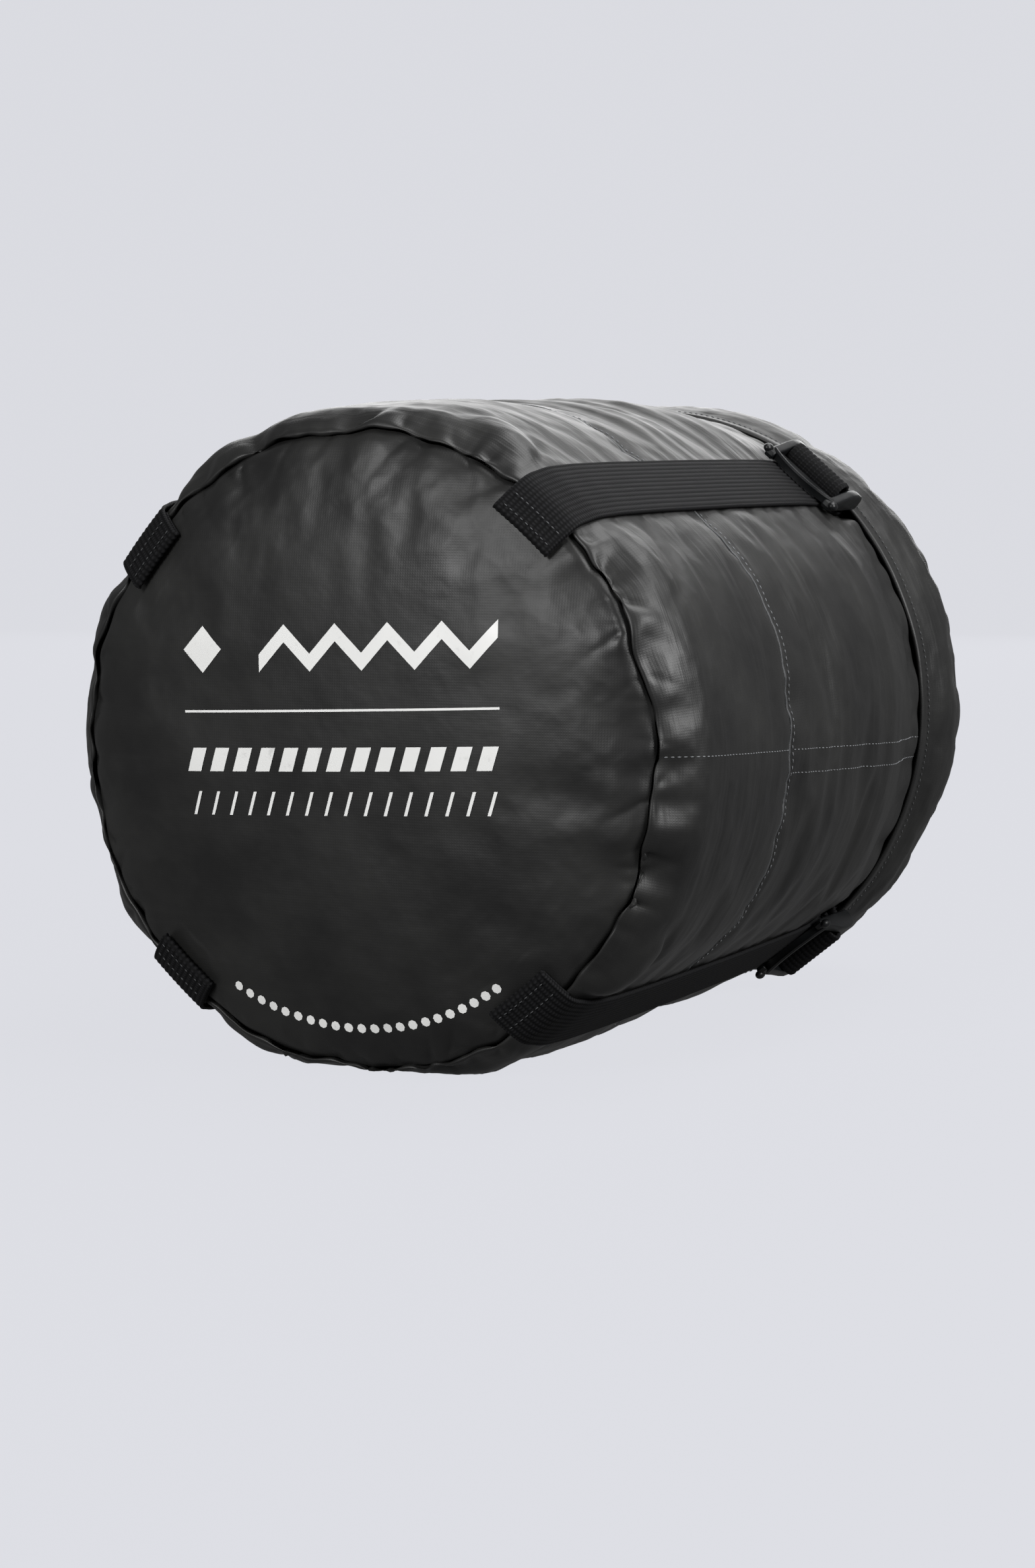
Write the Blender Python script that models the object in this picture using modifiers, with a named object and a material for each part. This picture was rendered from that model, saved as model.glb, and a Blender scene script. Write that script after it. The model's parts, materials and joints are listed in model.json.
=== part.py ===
"""Compression sack, packed and lying on its side.

The sack's axis runs along +Y, from the round base panel (-Y end) to the cap (+Y end).
Its flattened underside rests on z = 0, and the origin is the bottom centre of its box.
Profiles are written as (radius, along), with "along" counted from the base seam.
"""

import math

import bmesh
import bpy
from mathutils import Matrix, Vector

# ---- driving dimensions (metres) ----------------------------------------------------
FLANK_RADIUS = 0.1152          # body under the straps
LOBE_HEIGHT = 0.0030           # how far the cloth swells between the straps
FLOOR_DEPTH = 0.1095           # axis to the flattened underside
FLOOR_DEPTH_UNDER_CAP = 0.1062
FLOOR_DEPTH_CAP_BAND = 0.1082
FLOOR_DEPTH_CAP_TOP = 0.1078

BASE_SEAM_RADIUS = 0.1068
BASE_BULGE = 0.0130            # base panel, in front of its seam
MID_SEAM = 0.0920              # seam between the base band and the side panel
HEM = 0.2406                   # cap's open edge
CAP_SEAM = 0.2886              # seam between the cap's band and its top panel
CROWN = 0.3065                 # middle of the cap's top panel
NECK_RADIUS = 0.0300           # in the channel-end recess, where the gathers begin

SKIN = 0.0008                  # coated cloth, one layer
CAP_SKIN = 0.0012              # coated cloth with its facing
BINDING = 0.0009               # folded tape on the cap's open edge
SEAM_GAP = 0.0003
PACKING_GAP = 0.0012           # skin surface to packed contents

WEBBING_WIDTH = 0.0250
WEBBING = 0.0014
STRAP_ANGLES = {               # degrees from +X towards +Z
    "upper_right": 50.0,
    "upper_left": 140.0,
    "lower_left": 229.0,
    "lower_right": 309.0,
}
STRAP_END_RADIUS = 0.0990      # where each strap starts on the base panel

HINGE_ALONG = 0.2355           # rear bar of each ladderlock
HINGE_RADIUS = 0.1168
BUCKLE_WIDTH = 0.0340
BUCKLE_OPENING = 0.0266
BUCKLE_REACH = 0.0270          # rear bar to front lip
REAR_BAR_RADIUS = 0.0020
LOCKING_BAR_RADIUS = 0.0016
LOCKING_BAR_SETBACK = 0.0105
LOOP_WEBBING = 0.0008
TURN_WEBBING = 0.0016
TURN_RADIUS = 0.0036

MOUTH_ALONG = 0.2705           # plane of the drawcord
MOUTH_RADIUS = 0.0145
CHANNEL_OUTER = 0.0028
CHANNEL_INNER = 0.0020
CHANNEL_GAP_DEGREES = 70.0
CORD_RADIUS = 0.0013
STRAND_OFFSET = 0.0015
LOCK_X = 0.0310
KNOT_X = 0.0530
KNOT_RADIUS = 0.0032

BARREL_RADIUS = 0.0075
BARREL_BOTTOM = -0.0130
BARREL_TOP = 0.0110
BORE_RADIUS = 0.0052
BORE_BOTTOM = -0.0115
PLUNGER_RADIUS = 0.0049
PLUNGER_BOTTOM = -0.0036
PLUNGER_TRAVEL = 0.0035
PLUNGER_HEAD_RADIUS = 0.0065
PLUNGER_HEAD_HEIGHT = 0.0025
CORD_SLOT_HALF_WIDTH = 0.0031
CORD_SLOT_HALF_HEIGHT = 0.0016
SPRING_RADIUS = 0.0036
SPRING_WIRE = 0.00035
SPRING_TURNS = 4

SEGMENTS = 48
LENGTH = BASE_BULGE + CROWN
BASE_Y = BASE_BULGE - LENGTH / 2.0
AXIS = Vector((0.0, BASE_Y, FLOOR_DEPTH))

BASE_PROFILE = [
    (0.0, -BASE_BULGE),
    (0.0300, -0.0126),
    (0.0600, -0.0110),
    (0.0850, -0.0078),
    (STRAP_END_RADIUS, -0.0040),
    (BASE_SEAM_RADIUS, -SEAM_GAP),
]
BAND_PROFILE = [
    (BASE_SEAM_RADIUS + 0.0007, SEAM_GAP),
    (0.1118, 0.0045),
    (0.1138, 0.0120),
    (0.1148, 0.0300),
    (FLANK_RADIUS, 0.0600),
    (FLANK_RADIUS, MID_SEAM - SEAM_GAP),
]
SIDE_PROFILE = [
    (FLANK_RADIUS, MID_SEAM + SEAM_GAP),
    (FLANK_RADIUS, 0.1300),
    (0.1148, 0.1700),
    (0.1135, 0.1950),
    (0.1110, 0.2120),
    (0.1088, 0.2260),
    (0.1085, 0.2380),
    (0.1082, 0.2620),
    (0.1065, 0.2750),
    (0.1020, 0.2825),
    (0.0950, 0.2845),
]
MOUTH_PROFILE = [
    (0.0760, 0.2845),
    (0.0690, 0.2800),
    (0.0620, 0.2660),
    (0.0570, 0.2610),
    (NECK_RADIUS, 0.2605),
    (0.0200, 0.2620),
    (0.0155, 0.2672),
]
CAP_BAND_PROFILE = [
    (0.1141, HEM),
    (0.1143, 0.2490),
    (0.1154, 0.2560),
    (0.1161, 0.2660),
    (0.1160, 0.2760),
    (0.1147, 0.2840),
    (0.1118, CAP_SEAM),
]
CAP_TOP_PROFILE = [
    (0.1108, CAP_SEAM + 0.0010),
    (0.1050, 0.2927),
    (0.0900, 0.2982),
    (0.0650, 0.3030),
    (0.0350, 0.3058),
    (0.0, CROWN),
]
CAP_HEM_PROFILE = [(0.1156, HEM), (0.1157, HEM + 0.0080)]


# ---- scene helpers ------------------------------------------------------------------
def clear_scene():
    for obj in list(bpy.data.objects):
        bpy.data.objects.remove(obj, do_unlink=True)


def new_collection(name):
    collection = bpy.data.collections.new(name)
    bpy.context.scene.collection.children.link(collection)
    return collection


def srgb(hex_colour):
    channels = [int(hex_colour[i:i + 2], 16) / 255.0 for i in (1, 3, 5)]
    linear = [c / 12.92 if c <= 0.04045 else ((c + 0.055) / 1.055) ** 2.4 for c in channels]
    return (*linear, 1.0)


def new_material(name, hex_colour, roughness, metallic=0.0):
    material = bpy.data.materials.new(name)
    material.use_nodes = True
    shader = material.node_tree.nodes["Principled BSDF"]
    shader.inputs["Base Color"].default_value = srgb(hex_colour)
    shader.inputs["Roughness"].default_value = roughness
    shader.inputs["Metallic"].default_value = metallic
    return material


def add_object(name, data, material, location=(0.0, 0.0, 0.0), angle=0.0):
    """Link a piece; its own axes are turned by angle (degrees) about the sack's axis."""
    obj = bpy.data.objects.new(name, data)
    parts.objects.link(obj)
    if material:
        data.materials.append(material)
    turn = Matrix.Rotation(-math.radians(angle), 4, "Y")
    obj.matrix_world = Matrix.Translation(AXIS) @ turn @ Matrix.Translation(Vector(location))
    return obj


def to_mesh_object(obj):
    """Replace an object by its evaluated mesh, with loose caps welded."""
    bpy.context.view_layer.update()
    evaluated = obj.evaluated_get(bpy.context.evaluated_depsgraph_get())
    mesh = bpy.data.meshes.new_from_object(evaluated)
    welded = bmesh.new()
    welded.from_mesh(mesh)
    bmesh.ops.remove_doubles(welded, verts=welded.verts, dist=1e-6)
    welded.to_mesh(mesh)
    welded.free()
    name = obj.name
    obj.name = name + "_source"
    result = bpy.data.objects.new(name, mesh)
    result.matrix_world = obj.matrix_world
    for collection in obj.users_collection:
        collection.objects.link(result)
    bpy.data.objects.remove(obj, do_unlink=True)
    return result


def as_cutter(obj):
    parts.objects.unlink(obj)
    cutters.objects.link(obj)
    obj.hide_render = True
    obj.display_type = "WIRE"
    return obj


def boolean(obj, other, operation):
    modifier = obj.modifiers.new(operation.lower(), "BOOLEAN")
    modifier.operation = operation
    modifier.solver = "EXACT"
    modifier.object = as_cutter(other)


def smooth(obj, degrees=35.0):
    obj.data.shade_smooth()
    obj.data.set_sharp_from_angle(angle=math.radians(degrees))


def add_solidify(obj, thickness, offset):
    modifier = obj.modifiers.new("thickness", "SOLIDIFY")
    modifier.thickness = thickness
    modifier.offset = offset
    modifier.use_even_offset = True
    return modifier


# ---- shape helpers ------------------------------------------------------------------
def smoothstep(low, high, value):
    share = min(max((value - low) / (high - low), 0.0), 1.0)
    return share * share * (3.0 - 2.0 * share)


def turned(name, profile, material, axis="Y", steps=SEGMENTS, location=(0.0, 0.0, 0.0)):
    """Turn a profile about the piece's own Y or Z axis, as a plain mesh."""
    mesh = bpy.data.meshes.new(name)
    if axis == "Y":
        points = [(radius, along, 0.0) for radius, along in profile]
    else:
        points = [(radius, 0.0, along) for radius, along in profile]
    mesh.from_pydata(points, [(i, i + 1) for i in range(len(points) - 1)], [])
    obj = add_object(name, mesh, material, location)
    screw = obj.modifiers.new("turn", "SCREW")
    screw.axis = axis
    screw.steps = steps
    screw.render_steps = steps
    screw.use_normal_flip = axis == "Y"
    screw.use_merge_vertices = True
    screw.merge_threshold = 0.00005
    return to_mesh_object(obj)


def swell(point):
    """The cloth's outward swelling between straps, at a point of the turned body."""
    angle = math.degrees(math.atan2(point.z, point.x))
    nearest = min(abs((angle - strap + 180.0) % 360.0 - 180.0) for strap in STRAP_ANGLES.values())
    along = smoothstep(0.002, 0.024, point.y) * (1.0 - smoothstep(0.185, 0.222, point.y))
    return LOBE_HEIGHT * smoothstep(7.0, 24.0, nearest) * along


def body_floor(along):
    rise = smoothstep(0.2050, 0.2280, along)
    return FLOOR_DEPTH + (FLOOR_DEPTH_UNDER_CAP - FLOOR_DEPTH) * rise


def settle(obj, floor_depth, swelling=True):
    """Give a turned cloth piece its swelling between the straps and its flat underside."""
    for vertex in obj.data.vertices:
        point = vertex.co
        radius = math.hypot(point.x, point.z)
        if swelling and radius > 0.01:
            grown = 1.0 + swell(point) / radius
            point.x *= grown
            point.z *= grown
        point.z = max(point.z, -floor_depth(point.y))


def offset_route(points, distance):
    """Move an open (radius, along) route sideways, mitred at its corners."""
    moved = []
    for i, point in enumerate(points):
        normals = []
        for a, b in ((i - 1, i), (i, i + 1)):
            if a >= 0 and b < len(points):
                run = Vector(points[b]) - Vector(points[a])
                normals.append(Vector((run.y, -run.x)).normalized())
        normal = sum(normals, Vector((0.0, 0.0))).normalized()
        moved.append(Vector(point) + normal * (distance / normal.dot(normals[0])))
    return moved


def webbing_strip(name, route, thickness, material, angle, curl, location=(0.0, 0.0, 0.0)):
    """A strip of webbing laid along a (radius, along) route.

    curl(along) is 1 where the strip follows the round flank and 0 where it lies flat.
    """
    across = 4
    bm = bmesh.new()
    bmesh.ops.create_grid(bm, x_segments=len(route) - 1, y_segments=across, size=0.5)
    for vertex in bm.verts:
        station = round((vertex.co.x + 0.5) * (len(route) - 1))
        side = vertex.co.y * WEBBING_WIDTH
        radius, along = route[station]
        around = side / radius
        share = curl(along)
        flat = Vector((radius, along, side))
        curled = Vector((radius * math.cos(around), along, radius * math.sin(around)))
        vertex.co = flat.lerp(curled, share) - Vector(location)
    mesh = bpy.data.meshes.new(name)
    bm.to_mesh(mesh)
    bm.free()
    obj = add_object(name, mesh, material, location, angle)
    add_solidify(obj, thickness, 0.0)
    smooth(obj)
    return obj


def smooth_route(points, pieces):
    """Catmull-Rom points through the given ones."""
    padded = [2 * points[0] - points[1]] + points + [2 * points[-1] - points[-2]]
    result = []
    for p0, p1, p2, p3 in zip(padded, padded[1:], padded[2:], padded[3:]):
        for i in range(pieces):
            t = i / pieces
            linear = (p2 - p0) * t
            square = (2 * p0 - 5 * p1 + 4 * p2 - p3) * t * t
            cube = (3 * p1 - p0 - 3 * p2 + p3) * t * t * t
            result.append(0.5 * (2 * p1 + linear + square + cube))
    return result + [points[-1]]


def tube(name, points, radius, material, resolution=2, cyclic=False):
    curve = bpy.data.curves.new(name, "CURVE")
    curve.dimensions = "3D"
    curve.bevel_depth = radius
    curve.bevel_resolution = resolution
    curve.use_fill_caps = not cyclic
    spline = curve.splines.new("POLY")
    spline.points.add(len(points) - 1)
    for target, point in zip(spline.points, points):
        target.co = (*point, 1.0)
    spline.use_cyclic_u = cyclic
    obj = to_mesh_object(add_object(name, curve, material))
    smooth(obj)
    return obj


def box(name, low, high, material, location, angle=0.0):
    bm = bmesh.new()
    bmesh.ops.create_cube(bm, size=1.0)
    size = Vector(high) - Vector(low)
    middle = (Vector(high) + Vector(low)) / 2.0
    bmesh.ops.transform(bm, matrix=Matrix.Translation(middle) @ Matrix.Diagonal((*size, 1.0)), verts=bm.verts)
    mesh = bpy.data.meshes.new(name)
    bm.to_mesh(mesh)
    bm.free()
    return add_object(name, mesh, material, location, angle)


def rod(name, radius, length, centre, material, location, angle, segments=20):
    """A round bar across the webbing, so along the piece's own Z axis."""
    bm = bmesh.new()
    bmesh.ops.create_cone(
        bm, cap_ends=True, segments=segments, radius1=radius, radius2=radius, depth=length,
        matrix=Matrix.Translation(Vector(centre)))
    mesh = bpy.data.meshes.new(name)
    bm.to_mesh(mesh)
    bm.free()
    return add_object(name, mesh, material, location, angle)


# ---- cloth body ---------------------------------------------------------------------
def cloth_panel(name, profile, floor_depth, thickness, material, swelling=True):
    obj = turned(name, profile, material)
    settle(obj, floor_depth, swelling)
    add_solidify(obj, thickness, -1.0)
    smooth(obj)
    return obj


def make_contents():
    """Folded clothes, as one solid just inside the skins."""
    profile = BASE_PROFILE + BAND_PROFILE[1:] + SIDE_PROFILE[1:] + MOUTH_PROFILE[:5]
    profile = profile + [(0.0, MOUTH_PROFILE[4][1])]
    obj = turned("packed_contents", profile, contents_cloth)
    settle(obj, body_floor)
    bm = bmesh.new()
    bm.from_mesh(obj.data)
    bm.normal_update()
    moved = [(v, v.co - v.normal * PACKING_GAP * v.calc_shell_factor()) for v in bm.verts]
    for vertex, place in moved:
        vertex.co = place
    bm.to_mesh(obj.data)
    bm.free()
    smooth(obj)


def make_body():
    cloth_panel("base_panel", BASE_PROFILE, body_floor, SKIN, shell_cloth)
    cloth_panel("base_band", BAND_PROFILE, body_floor, SKIN, shell_cloth)
    cloth_panel("side_panel", SIDE_PROFILE + MOUTH_PROFILE, body_floor, SKIN, shell_cloth)


def make_cap():
    cloth_panel("cap_band", CAP_BAND_PROFILE, lambda along: FLOOR_DEPTH_CAP_BAND, CAP_SKIN, shell_cloth, False)
    cloth_panel("cap_hem", CAP_HEM_PROFILE, lambda along: FLOOR_DEPTH, BINDING, binding_tape, False)
    cloth_panel("cap_top_panel", CAP_TOP_PROFILE, lambda along: FLOOR_DEPTH_CAP_TOP, SKIN, shell_cloth, False)


# ---- straps and ladderlocks ---------------------------------------------------------
def make_strap(side, angle):
    """Webbing from the base panel, over the rim and along the flank to under the cap."""
    skin = BASE_PROFILE[-2:] + BAND_PROFILE + SIDE_PROFILE
    route = offset_route(skin, SEAM_GAP + WEBBING / 2.0)
    webbing_strip("strap_" + side, route, WEBBING, webbing, angle, lambda along: 1.0)


def make_turn(side, angle):
    """The strap's turn over the locking bar; it rides with the ladderlock."""
    middle = HINGE_ALONG - LOCKING_BAR_SETBACK
    centre_radius = HINGE_RADIUS + 0.0012
    route = [(0.1125, middle - TURN_RADIUS)]
    for i in range(9):
        turn = math.pi * (1.0 - i / 8.0)
        route.append((centre_radius + TURN_RADIUS * math.sin(turn), middle + TURN_RADIUS * math.cos(turn)))
    route.append((0.1118, middle + TURN_RADIUS))
    hinge = (HINGE_RADIUS, HINGE_ALONG, 0.0)
    webbing_strip("strap_turn_" + side, route, TURN_WEBBING, webbing, angle, lambda along: 0.0, hinge)


def make_loop(side, angle):
    """Webbing sewn inside the cap's edge, folded around the rear bar."""
    ply_low = 0.1109
    ply_high = 0.1120
    around = REAR_BAR_RADIUS + SEAM_GAP + LOOP_WEBBING / 2.0
    route = [(ply_low, 0.2620), (ply_low, 0.2520), (ply_low, 0.2410), (0.1118, 0.2390)]
    for i in range(13):
        turn = math.radians(-55.0 - i * 305.0 / 12.0)
        route.append((HINGE_RADIUS + around * math.sin(turn), HINGE_ALONG + around * math.cos(turn)))
    route += [(0.1142, 0.2390), (ply_high, 0.2400), (ply_high, 0.2520), (ply_high, 0.2620)]
    webbing_strip(
        "buckle_loop_" + side, route, LOOP_WEBBING, loop_webbing, angle,
        lambda along: smoothstep(0.2384, 0.2400, along))


def make_ladderlock(side, angle):
    """Side rails, rear bar, locking bar and a raised front lip, in one moulding."""
    hinge = (HINGE_RADIUS, HINGE_ALONG, 0.0)
    inner = BUCKLE_OPENING / 2.0
    outer = BUCKLE_WIDTH / 2.0
    overlap = 0.0008
    name = "ladderlock_" + side
    body = box(name, (-0.0012, -BUCKLE_REACH, -outer), (0.0016, -0.0185, outer), buckle_plastic, hinge, angle)
    for tag, low, high in (("left", -outer, -inner), ("right", inner, outer)):
        rail_low = (-0.0022, -BUCKLE_REACH + 0.0006, low - (0.0002 if tag == "left" else 0.0))
        rail_high = (0.0028, 0.0020, high + (0.0002 if tag == "right" else 0.0))
        rail = box(f"{name}_{tag}_rail", rail_low, rail_high, None, hinge, angle)
        bevel = rail.modifiers.new("rounding", "BEVEL")
        bevel.width = 0.0009
        bevel.segments = 2
        boolean(body, rail, "UNION")
    length = BUCKLE_OPENING + 2.0 * overlap
    rear = rod(f"{name}_rear_bar", REAR_BAR_RADIUS, length, (0.0, 0.0, 0.0), None, hinge, angle)
    locking = rod(
        f"{name}_locking_bar", LOCKING_BAR_RADIUS, length, (0.0008, -LOCKING_BAR_SETBACK, 0.0), None, hinge, angle, 14)
    lip = rod(f"{name}_lip", 0.0014, BUCKLE_WIDTH - 0.004, (0.0022, -BUCKLE_REACH + 0.0002, 0.0), None, hinge, angle, 14)
    for bar in (rear, locking, lip):
        boolean(body, bar, "UNION")
    smooth(body)


# ---- gathered mouth, drawcord and cord lock -----------------------------------------
def ring_point(degrees):
    angle = math.radians(degrees)
    return Vector((MOUTH_RADIUS * math.cos(angle), MOUTH_ALONG, MOUTH_RADIUS * math.sin(angle)))


def ring_points(start, end, count):
    return [ring_point(start + (end - start) * i / (count - 1)) for i in range(count)]


def make_mouth_hem():
    """The drawcord's channel: a hollow tube of cloth, open where the cord comes out."""
    half_gap = CHANNEL_GAP_DEGREES / 2.0
    steps = 24
    sweep = 360.0 - CHANNEL_GAP_DEGREES
    bm = bmesh.new()
    bmesh.ops.create_cone(
        bm, cap_ends=False, segments=8, radius1=CHANNEL_OUTER, radius2=CHANNEL_OUTER, depth=1.0)
    lengthwise = [e for e in bm.edges if abs(e.verts[0].co.z - e.verts[1].co.z) > 0.5]
    bmesh.ops.subdivide_edges(bm, edges=lengthwise, cuts=steps - 1, use_grid_fill=True)
    for vertex in bm.verts:
        angle = math.radians(half_gap + sweep * (vertex.co.z + 0.5))
        radius = MOUTH_RADIUS + vertex.co.x
        along = MOUTH_ALONG + vertex.co.y
        vertex.co = (radius * math.cos(angle), along, radius * math.sin(angle))
    mesh = bpy.data.meshes.new("mouth_hem")
    bm.to_mesh(mesh)
    bm.free()
    obj = add_object("mouth_hem", mesh, shell_cloth)
    add_solidify(obj, CHANNEL_OUTER - CHANNEL_INNER, -1.0)
    smooth(obj)


def make_drawcord():
    """One cord: from the knot, through the lock, round the mouth and back again."""
    exit_angle = CHANNEL_GAP_DEGREES / 2.0 + 8.0
    upper = Vector((0.0, STRAND_OFFSET, 0.0))
    mouth = Vector((0.0, MOUTH_ALONG, 0.0))
    end_x = KNOT_X - KNOT_RADIUS - SEAM_GAP
    bend = Vector((0.0185, 0.0, 0.0035))
    meet = Vector((0.0225, 0.0, 0.0))
    start = [mouth + Vector((end_x, 0.0, 0.0)) + upper, mouth + Vector((0.0375, 0.0, 0.0)) + upper]
    start += [mouth + meet + upper, mouth + bend + upper * 0.5]
    finish = [mouth + Vector((bend.x, 0.0, -bend.z)) - upper * 0.5, mouth + meet - upper]
    finish += [mouth + Vector((0.0375, 0.0, 0.0)) - upper, mouth + Vector((end_x, 0.0, 0.0)) - upper]
    ring = ring_points(exit_angle, 360.0 - exit_angle, 13)
    tube("drawcord", smooth_route(start + ring + finish, 3), CORD_RADIUS, cord_braid)


def make_knot():
    bm = bmesh.new()
    bmesh.ops.create_uvsphere(bm, u_segments=16, v_segments=10, radius=KNOT_RADIUS)
    mesh = bpy.data.meshes.new("cord_knot")
    bm.to_mesh(mesh)
    bm.free()
    smooth(add_object("cord_knot", mesh, cord_braid, (KNOT_X, MOUTH_ALONG, 0.0)))


def cord_slot(name, low, high):
    """A cutter for the cord's way through the lock, along X."""
    reach = BARREL_RADIUS * 1.5
    return box(
        name, (-reach, -CORD_SLOT_HALF_WIDTH, low), (reach, CORD_SLOT_HALF_WIDTH, high), None,
        (LOCK_X, MOUTH_ALONG, 0.0))


def make_cord_lock():
    lock = (LOCK_X, MOUTH_ALONG, 0.0)
    rim = 0.0008
    barrel_profile = [
        (0.0, BORE_BOTTOM),
        (BORE_RADIUS, BORE_BOTTOM),
        (BORE_RADIUS, BARREL_TOP),
        (BARREL_RADIUS - rim, BARREL_TOP),
        (BARREL_RADIUS, BARREL_TOP - rim),
        (BARREL_RADIUS, BARREL_BOTTOM + rim),
        (BARREL_RADIUS - rim, BARREL_BOTTOM),
        (0.0, BARREL_BOTTOM),
    ]
    barrel = turned("cord_lock_barrel", barrel_profile, lock_plastic, "Z", 28, lock)
    boolean(barrel, cord_slot("barrel_slot", -CORD_SLOT_HALF_HEIGHT, CORD_SLOT_HALF_HEIGHT), "DIFFERENCE")
    smooth(barrel)
    head_bottom = BARREL_TOP + PLUNGER_TRAVEL + SEAM_GAP
    head_top = head_bottom + PLUNGER_HEAD_HEIGHT
    plunger_profile = [
        (0.0, head_top),
        (PLUNGER_HEAD_RADIUS - rim, head_top),
        (PLUNGER_HEAD_RADIUS, head_top - rim),
        (PLUNGER_HEAD_RADIUS, head_bottom),
        (PLUNGER_RADIUS, head_bottom),
        (PLUNGER_RADIUS, PLUNGER_BOTTOM),
        (0.0, PLUNGER_BOTTOM),
    ]
    plunger = turned("cord_lock_plunger", plunger_profile, lock_plastic, "Z", 28, lock)
    slot_top = CORD_SLOT_HALF_HEIGHT + PLUNGER_TRAVEL
    boolean(plunger, cord_slot("plunger_slot", -CORD_SLOT_HALF_HEIGHT, slot_top), "DIFFERENCE")
    smooth(plunger)
    low = BORE_BOTTOM + SEAM_GAP + SPRING_WIRE
    high = PLUNGER_BOTTOM - SEAM_GAP - SPRING_WIRE
    count = SPRING_TURNS * 12
    coil = []
    for i in range(count + 1):
        angle = 2.0 * math.pi * i / 12
        height = low + (high - low) * i / count
        coil.append(Vector((LOCK_X + SPRING_RADIUS * math.cos(angle), MOUTH_ALONG + SPRING_RADIUS * math.sin(angle), height)))
    tube("cord_lock_spring", coil, SPRING_WIRE, spring_wire, 1)


clear_scene()
parts = new_collection("compression_sack")
cutters = new_collection("cutters")

shell_cloth = new_material("coated_nylon", "#303236", 0.42)
binding_tape = new_material("binding_tape", "#26282B", 0.6)
webbing = new_material("ribbed_webbing", "#232527", 0.75)
loop_webbing = new_material("loop_webbing", "#202224", 0.75)
buckle_plastic = new_material("moulded_acetal", "#17181A", 0.3)
lock_plastic = new_material("moulded_nylon", "#1B1C1E", 0.45)
cord_braid = new_material("braided_cord", "#1F2022", 0.8)
spring_wire = new_material("spring_steel", "#B9BCBE", 0.3, 1.0)
contents_cloth = new_material("packed_clothes", "#8A8780", 0.9)

make_contents()
make_body()
make_cap()
for strap_side, strap_angle in STRAP_ANGLES.items():
    make_strap(strap_side, strap_angle)
    make_turn(strap_side, strap_angle)
    make_loop(strap_side, strap_angle)
    make_ladderlock(strap_side, strap_angle)
make_mouth_hem()
make_drawcord()
make_knot()
make_cord_lock()
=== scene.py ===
import json
import math
import random
from functools import partial

import bmesh
import bpy
from bpy.props import FloatProperty, IntProperty, PointerProperty, StringProperty
from mathutils import Matrix, Vector, noise
from mathutils.bvhtree import BVHTree


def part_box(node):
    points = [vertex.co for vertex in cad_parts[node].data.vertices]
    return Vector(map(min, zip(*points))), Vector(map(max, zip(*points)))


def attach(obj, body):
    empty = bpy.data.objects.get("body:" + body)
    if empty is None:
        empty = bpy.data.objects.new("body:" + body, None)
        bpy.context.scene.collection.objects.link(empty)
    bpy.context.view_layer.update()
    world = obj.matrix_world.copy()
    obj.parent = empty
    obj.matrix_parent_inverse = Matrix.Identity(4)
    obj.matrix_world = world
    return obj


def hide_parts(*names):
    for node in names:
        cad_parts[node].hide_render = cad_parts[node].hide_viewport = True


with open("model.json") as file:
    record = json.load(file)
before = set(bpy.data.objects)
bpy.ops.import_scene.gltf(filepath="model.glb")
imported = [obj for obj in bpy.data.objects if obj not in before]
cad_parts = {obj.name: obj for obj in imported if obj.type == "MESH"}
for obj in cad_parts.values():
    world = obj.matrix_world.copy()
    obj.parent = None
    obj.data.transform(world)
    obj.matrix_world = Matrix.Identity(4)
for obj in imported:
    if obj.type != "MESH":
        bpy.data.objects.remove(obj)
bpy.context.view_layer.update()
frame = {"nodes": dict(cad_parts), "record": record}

bl_info = {
    "name": "Packed compression sack",
    "version": (1, 0, 0),
    "blender": (4, 5, 0),
    "location": "View3D > Sidebar > Sack",
    "description": "Sews, stuffs and straps a round cloth compression sack",
    "category": "Object",
}

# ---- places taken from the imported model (metres) -------------------------------------
BAND_LOW, BAND_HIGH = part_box("base_band")
AXIS_Z = BAND_HIGH.z - BAND_HIGH.x          # the body is round, so half its width is its rise
SEAM_Y = BAND_LOW.y - 0.0003
MID_SEAM = (BAND_HIGH.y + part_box("side_panel")[0].y) / 2.0 - SEAM_Y
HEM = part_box("cap_hem")[0].y - SEAM_Y
HEM_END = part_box("cap_hem")[1].y - SEAM_Y
HEM_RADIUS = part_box("cap_hem")[1].x
CAP_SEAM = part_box("cap_band")[1].y - SEAM_Y
BASE_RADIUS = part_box("base_panel")[1].x
HINGES = {
    joint["name"].replace("ladderlock_lift_", ""): Vector(joint["pos_m"])
    for joint in frame["record"]["behaviour"]["joints"]
    if joint["name"].startswith("ladderlock_lift_")
}
STRAP_ANGLES = {
    side: math.degrees(math.atan2(hinge.z - AXIS_Z, hinge.x)) for side, hinge in HINGES.items()
}
HINGE_ALONG = HINGES["upper_right"].y - SEAM_Y
HINGE_RADIUS = math.hypot(HINGES["upper_right"].x, HINGES["upper_right"].z - AXIS_Z)
BAR_TO_HINGE = 0.0105                       # the locking bar lies this far in front of the hinge

# The body under the straps, as (radius, along) from the base seam to the mouth.
FLANK = [
    (0.1075, 0.0003), (0.1118, 0.0045), (0.1138, 0.0120), (0.1148, 0.0300),
    (0.1152, 0.0600), (0.1152, 0.1300), (0.1149, 0.1700), (0.1145, 0.1950),
    (0.1138, 0.2090), (0.1125, 0.2195), (0.1092, 0.2290), (0.1085, 0.2380), (0.1085, 0.2396),
    (0.1085, 0.2406), (0.1084, 0.2424), (0.1082, 0.2620),
]
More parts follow.
